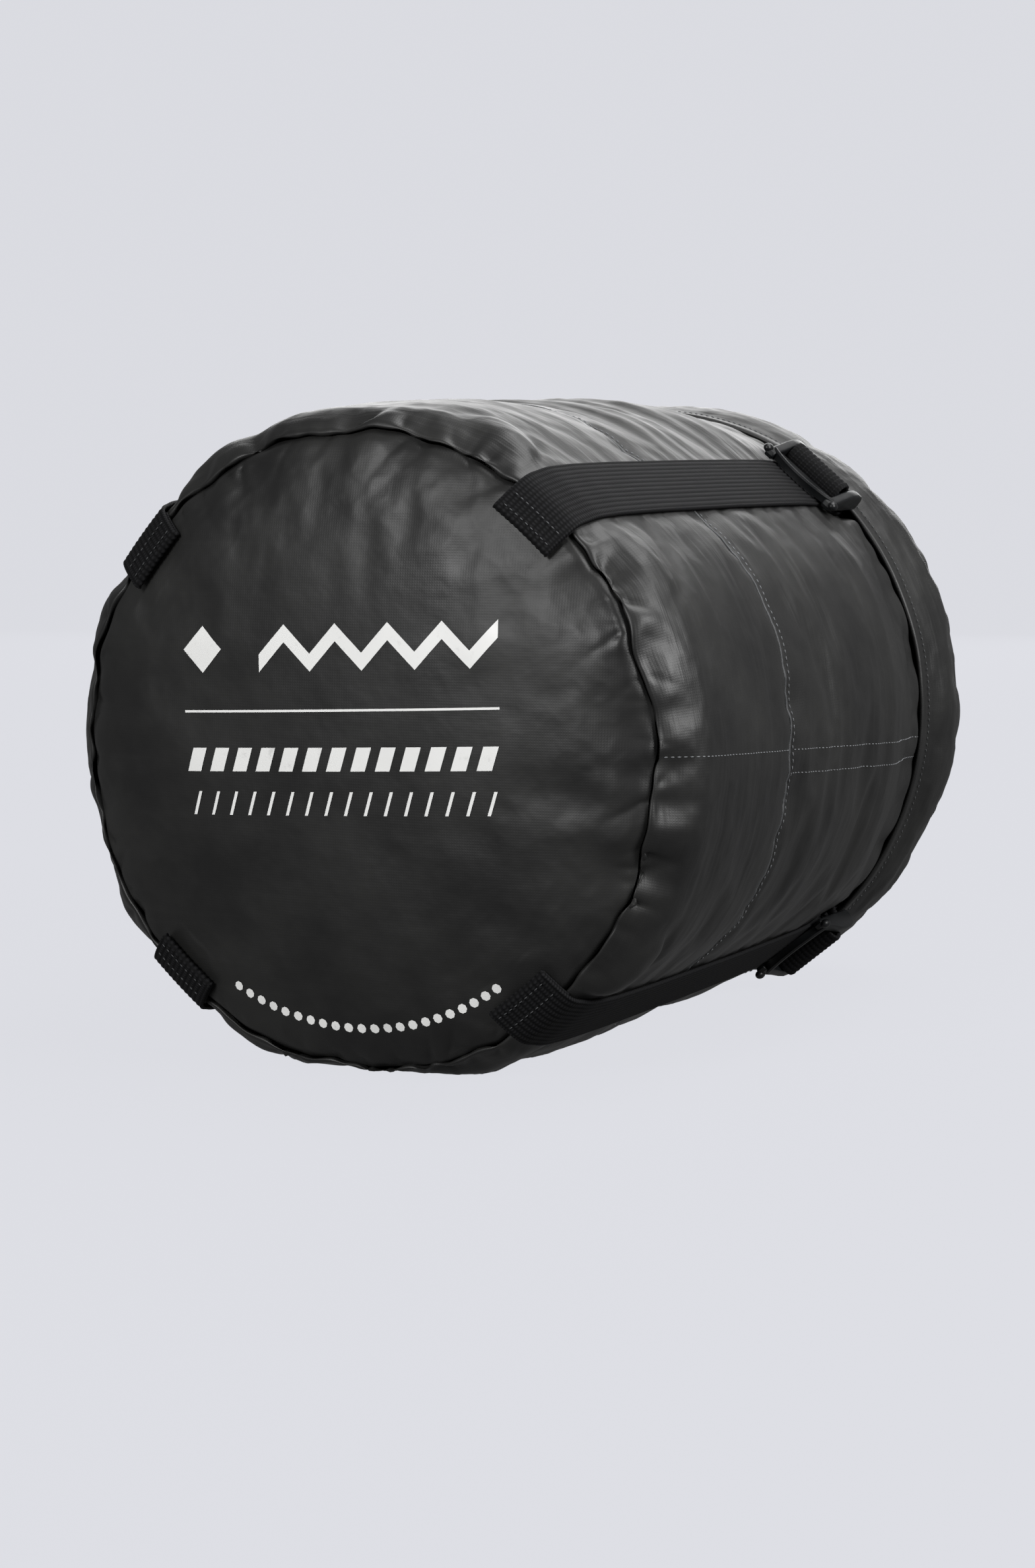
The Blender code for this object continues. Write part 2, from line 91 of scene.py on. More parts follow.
# The body between the straps, near the cap: full up to the hem, then tucked under it.
FULL_TO_CAP = [
    (0.1152, 0.1700), (0.1152, 0.1950), (0.1152, 0.2120), (0.1150, 0.2230), (0.1145, 0.2320),
    (0.1145, 0.2375), (0.1143, 0.2395), (0.1127, 0.2406), (0.1106, 0.2424), (0.1085, 0.2460),
]
# The gathered end, from the flank in to the drawcord channel.
MOUTH = [
    (0.1082, 0.2620), (0.1065, 0.2750), (0.1020, 0.2825), (0.0950, 0.2845), (0.0760, 0.2845),
    (0.0690, 0.2800), (0.0620, 0.2660), (0.0570, 0.2610), (0.0300, 0.2605), (0.0200, 0.2620),
    (0.0155, 0.2672),
]
# The base panel's bulge, then the cap's side from its hem and its crown from that seam.
DOME = [(0.0, -0.0130), (0.0300, -0.0126), (0.0600, -0.0110), (0.0850, -0.0078), (0.0990, -0.0040)]
CAP_SIDE = [
    (0.1141, 0.2406), (0.1143, 0.2490), (0.1154, 0.2560), (0.1161, 0.2660),
    (0.1160, 0.2760), (0.1147, 0.2840), (0.1118, 0.2886),
]
CAP_CROWN = [
    (0.1108, 0.2896), (0.1050, 0.2927), (0.0900, 0.2982), (0.0650, 0.3030), (0.0350, 0.3058),
    (0.0, 0.3065),
]
# Billows of slack cloth beside the strap ends: (degrees, along, size, height).
BILLOWS = [
    (322.0, 0.015, 0.0095, 0.0030), (35.0, 0.019, 0.0110, 0.0018), (66.0, 0.015, 0.0100, 0.0022),
    (123.0, 0.016, 0.0100, 0.0022), (157.0, 0.014, 0.0090, 0.0020), (214.0, 0.016, 0.0100, 0.0022),
]

FLOOR_UNDER_CAP = 0.1062                    # depth of the body's underside where the cap covers it
CAP_LIFT = 0.0013                           # the cap's underside stands this far off the floor
MID_ROUND, HEM_ROUND, CAP_ROUND = 0.115, 0.110, 0.112   # radii that spacing is measured on
CAP_RIM = 0.1112                            # radius of the cap's top panel
LINING_RADIUS = 0.1134                      # cap cloth inside this is its turned-in lining
SEAM_ANGLE = 1.5                            # lengthwise seam, degrees from +X
SEAM_DRIFT = -6.5                           # how far that seam wanders by the cap's hem
SEED = 11
SETTLING_FRAMES = 20                        # of cloth simulation
STITCH_SHARE = 0.65                         # of its length, a stitch shows this much above the cloth
RAIL_INSIDE, RAIL_WIDTH = 0.0132, 0.0038    # from the buckle's middle to a rail, and its width
BAR_LENGTH = 0.0282                         # a buckle's cross bars, into both rails
INK_THICKNESS = 0.00022
FLOOR_GAP = 0.0006                          # keeps the floor clear of the cloth that lies on it
RIB_HEIGHT = 0.00016                        # of the webbing's lengthwise ribs
CLEARANCE = 0.0003                          # air between layers of webbing and cloth
FOLD_STEPS = 7                              # a strap's folded end is this many of its steps long
WEAVE_SCALE = 349.0                         # wave texture scale for threads 0.9 mm apart
PICK_SCALE = 285.0                          # the same for webbing picks 1.1 mm apart


# ---- settings a user would change ------------------------------------------------------
class SackSizes(bpy.types.PropertyGroup):
    """Sizes of the sewing and of the cloth's fullness."""

    columns: IntProperty(
        name="Columns", description="Cloth columns round the body", default=360, min=120)
    cloth_step: FloatProperty(
        name="Cloth step", description="Cloth row spacing", default=0.003, unit="LENGTH")
    lobe: FloatProperty(
        name="Lobe", description="Swelling between the straps", default=0.0034, unit="LENGTH")
    pucker: FloatProperty(
        name="Pucker", description="Depth of the gathers at the base seam", default=0.0036,
        unit="LENGTH")
    gather_spacing: FloatProperty(
        name="Gather spacing", description="Distance between gathers", default=0.017,
        unit="LENGTH")
    webbing: FloatProperty(
        name="Webbing", description="Width of the straps", default=0.025, unit="LENGTH")
    webbing_thickness: FloatProperty(
        name="Webbing thickness", description="Thickness of the straps", default=0.0013,
        unit="LENGTH")
    ribs: IntProperty(name="Ribs", description="Ribs across a strap", default=12, min=4)
    stitch: FloatProperty(
        name="Stitch", description="Length of one stitch", default=0.0024, unit="LENGTH")
    thread: FloatProperty(
        name="Thread", description="Thickness of the sewing thread", default=0.0004,
        unit="LENGTH")


class SackColours(bpy.types.PropertyGroup):
    """Colours, as sRGB hex values."""

    cloth: StringProperty(name="Cloth", description="Coated nylon", default="#161616")
    cloth_worn: StringProperty(name="Worn cloth", description="Rubbed nylon", default="#222221")
    scuffs: StringProperty(name="Scuffs", description="Scuff lines in the nylon", default="#3A3A39")
    webbing: StringProperty(name="Webbing", description="Strap webbing", default="#0D0D0E")
    plastic: StringProperty(name="Plastic", description="Buckle plastic", default="#0D0E0F")
    lock: StringProperty(name="Lock", description="Cord lock plastic", default="#1B1C1E")
    steel: StringProperty(name="Steel", description="Lock spring", default="#B9BCBE")
    thread: StringProperty(name="Thread", description="Sewing thread", default="#86888B")
    print_ink: StringProperty(name="Print", description="Printed marks", default="#EDEDEB")
    cord: StringProperty(name="Cord", description="Drawcord", default="#222221")
    clothes: StringProperty(name="Clothes", description="Packed knitwear", default="#8A8780")
    backdrop: StringProperty(name="Backdrop", description="Studio floor", default="#E1E2E8")


def sizes():
    return bpy.context.scene.sack_sizes


def colours():
    return bpy.context.scene.sack_colours


# ---- materials -------------------------------------------------------------------------
def linear(hex_colour):
    """An sRGB hex value as linear RGBA."""
    values = [int(hex_colour[i:i + 2], 16) / 255.0 for i in (1, 3, 5)]
    return (*[v / 12.92 if v <= 0.04045 else ((v + 0.055) / 1.055) ** 2.4 for v in values], 1.0)


def toned(colour, factor, added=0.0):
    """A linear colour made darker or paler, and lifted a little."""
    return (*[min(1.0, channel * factor + added) for channel in colour[:3]], 1.0)


def add_node(tree, kind, settings=None, **links):
    """Add a node; settings go to its properties or sockets, links join sockets to a node or output."""
    made = tree.nodes.new("ShaderNode" + kind)
    for key, value in (settings or {}).items():
        if isinstance(key, int) or key in made.inputs:
            made.inputs[key].default_value = value
        else:
            setattr(made, key, value)
    for key, source in links.items():
        output = source.outputs[0] if isinstance(source, bpy.types.Node) else source
        tree.links.new(output, made.inputs[int(key[1:]) if key[0] == "_" else key])
    return made


def new_material(name, settings):
    """A new material's shader, and add_node for its tree."""
    material = bpy.data.materials.new(name)
    material.use_nodes = True
    shader = material.node_tree.nodes["Principled BSDF"]
    for key, value in settings.items():
        shader.inputs[key].default_value = value
    return shader, partial(add_node, material.node_tree)


def join(output, shader, socket):
    shader.id_data.links.new(output, shader.inputs[socket])


def two_toned(shader, add, low, high, share, height, strength, distance):
    """Mix two tones by one pattern into the colour, and raise the surface by another."""
    colour = add("Mix", {"data_type": "RGBA", 6: low, 7: high}, Factor=share)
    join(colour.outputs[2], shader, "Base Color")
    bump = add("Bump", {"Strength": strength, "Distance": distance}, Height=height)
    join(bump.outputs[0], shader, "Normal")
    return bump


def varied_gloss(shader, add, pattern, low, high):
    """Roughness that follows a pattern between two values."""
    gloss = add("MapRange", {1: 0.3, 2: 0.7, 3: low, 4: high}, Value=pattern)
    join(gloss.outputs[0], shader, "Roughness")


def coated_nylon(name, streaks, crumple, stretch):
    """Woven nylon with a rolled-on coating: soft broad gloss, faint creases from being crushed."""
    shader, add = new_material(name, {"Roughness": 0.46, "IOR": 1.5, "Specular IOR Level": 0.38})
    uv = add("UVMap", {"uv_map": "cloth"})
    # Patches 30 to 60 mm across, where the coating is rubbed paler and a little less glossy.
    patches = add("TexNoise", {"Scale": 22.0, "Detail": 4.0, "Roughness": 0.55}, Vector=uv)
    tone = add("MapRange", {1: 0.38, 2: 0.72}, Value=patches)
    base, rubbed = linear(colours().cloth), linear(colours().cloth_worn)
    colour = add("Mix", {"data_type": "RGBA", 6: base, 7: rubbed}, Factor=tone)
    varied_gloss(shader, add, patches, 0.40, 0.54)
    # Scuff lines run round the body, 4 to 8 mm apart and several centimetres long.
    round_body = add("Mapping", {"vector_type": "POINT", "Scale": (14.0, 260.0, 1.0)}, Vector=uv)
    scuff = add("TexNoise", {"Scale": 1.0, "Detail": 5.0, "Roughness": 0.6}, Vector=round_body)
    line = add("MapRange", {1: 0.55, 2: 0.78, 4: 0.30 * streaks}, Value=scuff)
    worn = add("Mix", {"data_type": "RGBA", 7: linear(colours().scuffs)}, Factor=line, _6=colour.outputs[2])
    join(worn.outputs[2], shader, "Base Color")
    # Plain weave: the threads are 0.25 mm apart; drawn at 0.9 mm so that they show.
    warp, weft = [
        add("TexWave", {"bands_direction": way, "Scale": WEAVE_SCALE, "Distortion": 0.6}, Vector=uv)
        for way in "XY"]
    weave = add("Math", {"operation": "MULTIPLY"}, _0=warp.outputs[1], _1=weft.outputs[1])
    fine = add("Bump", {"Strength": 0.25, "Distance": 0.00006}, Height=weave)
    # Crush marks: long shallow creases along the seams; stretch is their count per metre each way.
    stretched = add("Mapping", {"vector_type": "POINT", "Scale": stretch}, Vector=uv)
    crease = add(
        "TexNoise", {"Scale": 1.0, "Detail": 3.0, "Roughness": 0.5, "Distortion": 0.3}, Vector=stretched)
    creases = add("Bump", {"Strength": 0.9 * streaks, "Distance": 0.0009}, Height=crease, Normal=fine)
    # Crumple: 12 to 20 mm facets left by stuffing.
    soft = add("TexNoise", {"Scale": 62.0, "Detail": 3.0, "Roughness": 0.5}, Vector=uv)
    crumpled = add("Bump", {"Strength": crumple, "Distance": 0.0012}, Height=soft, Normal=creases)
    join(crumpled.outputs[0], shader, "Normal")


def ribbed_webbing(name):
    """Polypropylene webbing woven with lengthwise ribs: matte, with a faint yarn sparkle painted into the
    colour as paler dots on the rib crests.
    """
    shader, add = new_material(name, {"Roughness": 0.75, "IOR": 1.45, "Specular IOR Level": 0.12})
    uv = add("UVMap", {"uv_map": "cloth"})
    # Yarn picks cross the ribs every 1.1 mm; the ribs are one twelfth of the width apart.
    picks = add("TexWave", {"bands_direction": "Y", "Scale": PICK_SCALE, "Distortion": 1.2}, Vector=uv)
    fuzz = add("TexNoise", {"Scale": 900.0, "Detail": 2.0}, Vector=uv)
    pitch = 0.1 * math.pi * sizes().ribs / sizes().webbing
    crest = add("TexWave", {
        "bands_direction": "X", "Scale": pitch, "Distortion": 0.3, "Phase Offset": math.pi}, Vector=uv)
    crown = add("MapRange", {1: 0.35, 2: 0.95}, Value=crest.outputs[1])
    # Painted highlight: the rib crests are made paler in dots where the picks cross them, so the ribs look
    # lit on top and shaded in the grooves.
    rib_highlight_spots = add("Math", {"operation": "MULTIPLY"}, _0=picks.outputs[1], _1=crown.outputs[0])
    shade = add("Math", {"operation": "MULTIPLY", 1: 0.45}, _0=rib_highlight_spots)
    base = linear(colours().webbing)
    # The painted highlight mixes the webbing's colour up to 45 percent of the way to a tone five times
    # paler.
    yarn = two_toned(
        shader, add, base, toned(base, 5.0, 0.006), shade, picks.outputs[1], 0.6, 0.00012)
    hair = add("Bump", {"Strength": 0.3, "Distance": 0.0001}, Height=fuzz, Normal=yarn)
    join(hair.outputs[0], shader, "Normal")


def moulded_plastic(name, colour, roughness):
    """Injection-moulded acetal: even black, soft gloss, a fine spark-eroded grain."""
    shader, add = new_material(name, {"Roughness": roughness, "IOR": 1.48, "Specular IOR Level": 0.32})
    spot = add("TexCoord").outputs["Object"]
    grain = add("TexNoise", {"Scale": 2400.0, "Detail": 2.0}, Vector=spot)
    wear = add("TexNoise", {"Scale": 160.0, "Detail": 4.0}, Vector=spot)
    base = linear(getattr(colours(), colour))
    two_toned(shader, add, base, toned(base, 1.7), wear, grain, 0.25, 0.00004)
    varied_gloss(shader, add, wear, roughness - 0.06, roughness + 0.1)


def sewing_thread(name, brightness):
    """Bonded polyester thread: twisted, a little paler than the cloth."""
    shader, add = new_material(name, {"Roughness": 0.6})
    spot = add("TexCoord").outputs["Object"]
    twist = add("TexNoise", {"Scale": 700.0, "Detail": 1.0}, Vector=spot)
    base = toned(linear(colours().thread), brightness)
    colour = add("Mix", {"data_type": "RGBA", 6: toned(base, 0.4), 7: base}, Factor=twist)
    join(colour.outputs[2], shader, "Base Color")


def screen_print(name):
    """Plastisol ink, printed and cured: flat white with a faint orange peel and pinholes."""
    shader, add = new_material(name, {"Roughness": 0.55})
    spot = add("TexCoord").outputs["Object"]
    peel = add("TexNoise", {"Scale": 900.0, "Detail": 3.0}, Vector=spot)
    wear = add("TexNoise", {"Scale": 240.0, "Detail": 6.0, "Roughness": 0.7}, Vector=spot)
    thin = add("MapRange", {1: 0.30, 2: 0.42}, Value=wear)
    base = linear(colours().print_ink)
    two_toned(shader, add, toned(base, 0.82), base, thin, peel, 0.2, 0.00005)


def braided_cord(name):
    """Braided polyester cord: a close criss-cross of 1 mm strands."""
    shader, add = new_material(name, {"Roughness": 0.8})
    spot = add("TexCoord").outputs["Object"]
    braid = add("TexVoronoi", {"Scale": 1100.0}, Vector=spot)
    base = linear(colours().cord)
    two_toned(shader, add, toned(base, 2.2), base, braid, braid, 0.6, 0.0002)


def spring_steel(name):
    """Drawn spring wire: bright, with fine draw lines."""
    shader, add = new_material(
        name, {"Metallic": 1.0, "Roughness": 0.3, "Base Color": linear(colours().steel)})
    spot = add("TexCoord").outputs["Object"]
    lines = add("TexNoise", {"Scale": 1500.0, "Detail": 2.0}, Vector=spot)
    varied_gloss(shader, add, lines, 0.22, 0.42)


def knitwear(name):
    """Folded wool-blend knit: soft stitches about 3 mm wide."""
    shader, add = new_material(name, {"Roughness": 0.9})
    spot = add("TexCoord").outputs["Object"]
    knit = add("TexWave", {"bands_direction": "Z", "Scale": 55.0, "Distortion": 3.0}, Vector=spot)
    base = linear(colours().clothes)
    two_toned(shader, add, toned(base, 0.6), base, knit.outputs[1], knit.outputs[1], 0.6, 0.0008)


# Each finish by a short name: its full name, the function that makes it, and its values.
FINISHES = {
    "flank": ("coated nylon, rolled flank", coated_nylon, 0.55, 0.4, (13.0, 170.0, 1.0)),
    "base": ("coated nylon, flat base", coated_nylon, 0.25, 0.3, (45.0, 70.0, 1.0)),
    "webbing": ("polypropylene webbing, ribbed", ribbed_webbing),
    "buckle": ("acetal, moulded", moulded_plastic, "plastic", 0.36),
    "lock": ("nylon, moulded", moulded_plastic, "lock", 0.45),
    "thread": ("polyester thread, bonded", sewing_thread, 1.0),
    "worn_thread": ("polyester thread, worn", sewing_thread, 0.35),
    "seam_edge": ("nylon seam edge, worn", sewing_thread, 0.30),
    "knit": ("wool blend, knitted", knitwear),
    "ink": ("plastisol ink, screen printed", screen_print),
    "cord": ("polyester cord, braided", braided_cord),
    "steel": ("spring steel, drawn", spring_steel),
}


def finish_called(key):
    """Make a finish's material once, then hand the same one out."""
    name, maker, *values = FINISHES[key]
    if name not in bpy.data.materials:
        maker(name, *values)
    return bpy.data.materials[name]


# ---- mesh helpers ------------------------------------------------------------------------
def smoothstep(low, high, value):
    share = min(max((value - low) / (high - low), 0.0), 1.0)
    return share * share * (3.0 - 2.0 * share)


def radius_at(profile, along, known=1):
    """Radius of a (radius, along) profile at a distance along; with known=0 the other way round."""
    wanted = 1 - known
    for a, b in zip(profile, profile[1:]):
        if min(a[known], b[known]) <= along <= max(a[known], b[known]) and a[known] != b[known]:
            return a[wanted] + (b[wanted] - a[wanted]) * (along - a[known]) / (b[known] - a[known])
    return profile[0][wanted] if along < profile[0][known] else profile[-1][wanted]


def along_at(profile, radius):
    return radius_at(profile, radius, 0)


def resampled(points, step):
    """An open (radius, along) route with even spacing of about step."""
    route = [Vector(points[0])]
    for a, b in zip(points, points[1:]):
        a, b = Vector(a), Vector(b)
        count = max(1, round((b - a).length / step))
        route += [a.lerp(b, i / count) for i in range(1, count + 1)]
    return route


def softened(route, rounds):
    """Round off a route's corners by averaging neighbours."""
    for _ in range(rounds):
        middle = [(a + 2.0 * b + c) / 4.0 for a, b, c in zip(route, route[1:], route[2:])]
        route = [route[0], *middle, route[-1]]
    return route


def normals_of(route):
    """Outward normals of a (radius, along) route that runs away from the base."""
    result = []
    for i in range(len(route)):
        run = route[min(i + 1, len(route) - 1)] - route[max(i - 1, 0)]
        result.append(Vector((run.y, -run.x)).normalized())
    return result


def place(radius, along, degrees, side=0.0, curl=1.0):
    """A world point: radius and along on the sack, side metres round from an angle."""
    around = side / max(radius, 0.001)
    flat = Vector((radius, 0.0, side))
    curled = Vector((radius * math.cos(around), 0.0, radius * math.sin(around)))
    local = flat.lerp(curled, curl)
    angle = math.radians(degrees)
    x = local.x * math.cos(angle) - local.z * math.sin(angle)
    z = local.x * math.sin(angle) + local.z * math.cos(angle)
    return Vector((x, SEAM_Y + along, AXIS_Z + z))


def degrees_of(point):
    return math.degrees(math.atan2(point.z - AXIS_Z, point.x))


def where(point):
    """A point's distance along the sack, its angle round it and its radius."""
    return point.y - SEAM_Y, degrees_of(point), math.hypot(point.x, point.z - AXIS_Z)


def push_out(vertex, radius, grow):
    """Move a vertex at a radius straight away from the sack's axis."""
    scale = (radius + grow) / radius
    vertex.co.x *= scale
    vertex.co.z = AXIS_Z + (vertex.co.z - AXIS_Z) * scale


def unit(degrees):
    """A point on a circle of radius 1, to read noise that closes on itself."""
    return Vector((math.cos(math.radians(degrees)), math.sin(math.radians(degrees)), 0.0))


def lumps(point, along, across, lengthwise):
    """Noise from -1 to 1 with its own number of lumps per metre across and along the sack."""
    return noise.noise(Vector((point.x * across, along * lengthwise, point.z * across)))


def degrees_past(degrees, centre):
    return (degrees - centre + 180.0) % 360.0 - 180.0


def from_nearest_strap(degrees):
    return min(abs(degrees_past(degrees, strap)) for strap in STRAP_ANGLES.values())


def finish_piece(name, bm, finish, body, nodes=(), smooth_angle=None):
    """Turn a bmesh into a piece that rides on a body and stands for CAD nodes."""
    mesh = bpy.data.meshes.new(name)
    bm.to_mesh(mesh)
    bm.free()
    mesh.shade_smooth()
    if smooth_angle:
        mesh.set_sharp_from_angle(angle=math.radians(smooth_angle))
    mesh.materials.append(finish_called(finish))
    piece = bpy.data.objects.new(name, mesh)
    bpy.context.scene.collection.objects.link(piece)
    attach(piece, body)
    if nodes:
        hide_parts(*nodes)
    return piece


def spun(route, columns):
    """Spin a (radius, along) route round the sack's axis; returns an open tube."""
    bm = bmesh.new()
    uv = bm.loops.layers.uv.new("cloth")
    made = [bm.verts.new((p.x, SEAM_Y + p.y, AXIS_Z)) for p in route]
    edges = [bm.edges.new(pair) for pair in zip(made, made[1:])]
    bmesh.ops.spin(
        bm, geom=made + edges, cent=(0.0, 0.0, AXIS_Z), axis=(0.0, 1.0, 0.0), angle=2.0 * math.pi,
        steps=columns, use_merge=True)
    bmesh.ops.remove_doubles(bm, verts=bm.verts, dist=1e-6)
    bmesh.ops.recalc_face_normals(bm, faces=bm.faces)
    bm.normal_update()
    outwards = 0.0
    for face in bm.faces:
        centre = face.calc_center_median()
        outwards += face.normal.dot(Vector((centre.x, 0.0, centre.z - AXIS_Z)))
    if outwards < 0.0:
        bmesh.ops.reverse_faces(bm, faces=bm.faces)
    for face in bm.faces:
        middle = degrees_of(face.calc_center_median())
        for loop in face.loops:
            turn = degrees_past(degrees_of(loop.vert.co), middle)
            loop[uv].uv = (math.radians(middle + turn) * HEM_RADIUS, loop.vert.co.y)
    return bm


def disc(count):
    """A round sheet of radius 1 in near-square cells, in the sack's cross-section plane."""
    bm = bmesh.new()
    bm.loops.layers.uv.new("cloth")
    bmesh.ops.create_grid(bm, x_segments=count, y_segments=count, size=1.0)
    for vertex in bm.verts:
        x, y = vertex.co.x, vertex.co.y
        wide = x * math.sqrt(max(0.0, 1.0 - y * y / 2.0))
        tall = y * math.sqrt(max(0.0, 1.0 - x * x / 2.0))
        vertex.co = (wide, 0.0, tall)
    return bm


def lay_uv_flat(bm):
    """Map the cloth's UV straight along the sack, in metres."""
    uv = bm.loops.layers.uv["cloth"]
    for face in bm.faces:
        for loop in face.loops:
            loop[uv].uv = (loop.vert.co.x, loop.vert.co.z)


# ---- cloth --------------------------------------------------------------------------------
def gathers(seed, radius):
    """Where the cloth is gathered at a round seam: (degrees, width, length, depth)."""
    rng = random.Random(seed)
    around = 2.0 * math.pi * radius
    found = []
    at = 0.0
    while at < around:
        at += sizes().gather_spacing * rng.uniform(0.55, 1.5)
        found.append((
            math.degrees(at / radius), rng.uniform(0.0030, 0.0060), rng.uniform(0.006, 0.020),
            rng.uniform(0.3, 1.0) * sizes().pucker))
    return found


def gathered(folds, degrees, distance, radius):
    """Depth of the folds at a point: sharp at the seam, wide and shallow further away."""
    depth = 0.0
    for centre, width, length, height in folds:
        off = math.radians(degrees_past(degrees, centre)) * radius
        wide = width * (1.0 + distance / length)
        if abs(off) < 3.0 * wide:
            depth += height * math.exp(-abs(off / wide) ** 1.5) * math.exp(-distance / length)
    return depth


def wander(degrees):
    """How far the base seam strays from a true circle: (outward, along)."""
    spot = unit(degrees)
    calm = smoothstep(6.5, 11.0, from_nearest_strap(degrees))
    out = 0.0024 * noise.noise(spot * 5.0) + 0.0009 * noise.noise(spot * 13.0)
    along = 0.0022 * noise.noise(spot * 4.2 + Vector((7.0, 0.0, 0.0)))
    return out * calm, along * calm


def domed(cells, rim, shape, folds, way, ripple, stray, lowest=-1.0):
    """A gathered disc domed to a (radius, along) shape, towards the base (-1) or the cap's end (1).

    Its edge goes with stray, the seam's own wandering, and its underside is cut off at lowest.
    """
    bm = disc(cells)
    for vertex in bm.verts:
        share = math.hypot(vertex.co.x, vertex.co.z)
        radius = rim * min(share, 1.0)
        degrees = math.degrees(math.atan2(vertex.co.z, vertex.co.x))
        inward = rim - radius
        dip = gathered(folds, degrees, inward, rim) * smoothstep(0.0, 0.002, inward)
        edge = smoothstep(0.80, 1.0, share)
        out, forward = stray(degrees)
        scale = (radius + out * edge) / share if share > 0.0 else 1.0
        along = along_at(shape, radius) - way * dip + ripple(vertex.co, share) + forward * edge
        depth = max(vertex.co.z * scale, lowest)
        vertex.co = (vertex.co.x * scale, SEAM_Y + along, AXIS_Z + depth)
    lay_uv_flat(bm)
    bmesh.ops.recalc_face_normals(bm, faces=bm.faces)
    bm.normal_update()
    if sum(face.normal.y for face in bm.faces) * way < 0.0:
        bmesh.ops.reverse_faces(bm, faces=bm.faces)
    return bm


def settle_cloth(piece, pins, looseness, growth, extra, pressure, bending, limit):
    """Swell the cloth by simulation, no vertex further than the limit.

    Pins and looseness give a weight for each vertex. The cloth grows by the share growth where
    it isn't loose, and by the share extra where it is fully loose.
    """
    mesh = piece.data
    for label, rule in (("pins", pins), ("loose", looseness)):
        group = piece.vertex_groups.new(name=label)
        for vertex in mesh.vertices:
            weight = rule(vertex.co)
            if weight > 0.0:
                group.add([vertex.index], min(weight, 1.0), "REPLACE")
    cloth = piece.modifiers.new("cloth", "CLOTH")
    settings = cloth.settings
    settings.quality = 5
    settings.mass = 0.3
    settings.tension_stiffness = 15.0
    settings.compression_stiffness = 15.0
    settings.shear_stiffness = 5.0
    settings.bending_stiffness = bending
    settings.use_pressure = True
    settings.uniform_pressure_force = pressure
    settings.vertex_group_mass = "pins"
    settings.vertex_group_shrink = "loose"
    settings.shrink_min = -growth
    settings.shrink_max = -extra
    settings.effector_weights.gravity = 0.0
    cloth.collision_settings.use_collision = False
    cloth.point_cache.frame_start = 1
    cloth.point_cache.frame_end = SETTLING_FRAMES + 1
    for step in range(1, SETTLING_FRAMES + 1):
        bpy.context.scene.frame_set(step)
    graph = bpy.context.evaluated_depsgraph_get()
    settled = bpy.data.meshes.new_from_object(piece.evaluated_get(graph))
    for vertex, ended in zip(mesh.vertices, settled.vertices):
        moved = ended.co - vertex.co
        if moved.length > limit:
            moved = moved.normalized() * limit
        vertex.co += moved
    piece.modifiers.clear()
    piece.vertex_groups.clear()
    bpy.data.meshes.remove(settled)
    bpy.context.scene.frame_set(1)


def keep_above_floor(piece, depth_at):
    """Flatten the underside where the sack lies on it."""
    for vertex in piece.data.vertices:
        lowest = AXIS_Z - depth_at(vertex.co.y - SEAM_Y)
        if vertex.co.z < lowest:
            vertex.co.z = lowest


def subdivide(piece):
    modifier = piece.modifiers.new("fine", "SUBSURF")
    modifier.levels = 1
    modifier.render_levels = 1


def refine(piece, offset_of):
    """Subdivide the settled cloth once, then push it along its normals by small folds."""
    subdivide(piece)
    graph = bpy.context.evaluated_depsgraph_get()
    finer = bpy.data.meshes.new_from_object(piece.evaluated_get(graph), depsgraph=graph)
    piece.modifiers.clear()
    old = piece.data
    piece.data = finer
    bpy.data.meshes.remove(old)
    normals = [vertex.normal.copy() for vertex in finer.vertices]
    for vertex, normal in zip(finer.vertices, normals):
        vertex.co += normal * offset_of(vertex.co)
    finer.update()


def puckers(seed, radius, spacing, depth):
    """Short sharp folds leaving a seam at their own slants: (degrees, width, length, depth, slant)."""
    rng = random.Random(seed)
    found = []
    at = 0.0
    while at < 2.0 * math.pi * radius:
        at += spacing * rng.uniform(0.35, 1.7)
        found.append((
            math.degrees(at / radius), rng.uniform(0.0010, 0.0024), rng.uniform(0.003, 0.011),
            rng.uniform(0.25, 1.0) ** 1.5 * depth, rng.uniform(-0.9, 0.9)))
    return found


def puckered(folds, degrees, distance, radius):
    """Depth of short folds: a sharp crease that widens, slants and dies away from the seam."""
    depth = 0.0
    for centre, width, length, height, slant in folds:
        off = math.radians(degrees_past(degrees, centre)) * radius + slant * distance
        wide = width * (1.0 + 1.6 * distance / length)
        if abs(off) < 5.0 * wide:
            depth += height * math.exp(-abs(off / wide) ** 1.3) * math.exp(-(distance / length) ** 1.4)
    return depth


def crushed(point, size, depth):
    """Crisp crush marks: ridged noise of about the given size."""
    spot = point / size
    first = abs(noise.noise(spot))
    second = abs(noise.noise(spot * 2.1 + Vector((5.0, 1.0, 9.0))))
    return depth * (0.35 - first - 0.45 * second)


def body_floor(along):
    """Depth of the body's underside below the axis: it rises where it goes into the cap."""
    return AXIS_Z + (FLOOR_UNDER_CAP - AXIS_Z) * smoothstep(0.2050, 0.2280, along)


def surface_of(*pieces):
    """A tree for ray casts on the pieces' evaluated surfaces."""
    graph = bpy.context.evaluated_depsgraph_get()
    verts, faces = [], []
    for piece in pieces:
        mesh = piece.evaluated_get(graph).to_mesh()
        base = len(verts)
        verts += [vertex.co.copy() for vertex in mesh.vertices]
        faces += [[base + i for i in polygon.vertices] for polygon in mesh.polygons]
        piece.evaluated_get(graph).to_mesh_clear()
    return BVHTree.FromPolygons(verts, faces)


def on_flank(tree, degrees, along):
    """The cloth's surface point and normal at an angle and a distance along."""
    far = place(0.2, along, degrees)
    towards = (Vector((0.0, far.y, AXIS_Z)) - far).normalized()
    hit, normal = tree.ray_cast(far, towards)[:2]
    if hit is None:
        return place(radius_at(FLANK, along), along, degrees), -towards
    return hit, normal if normal.dot(towards) < 0.0 else -normal


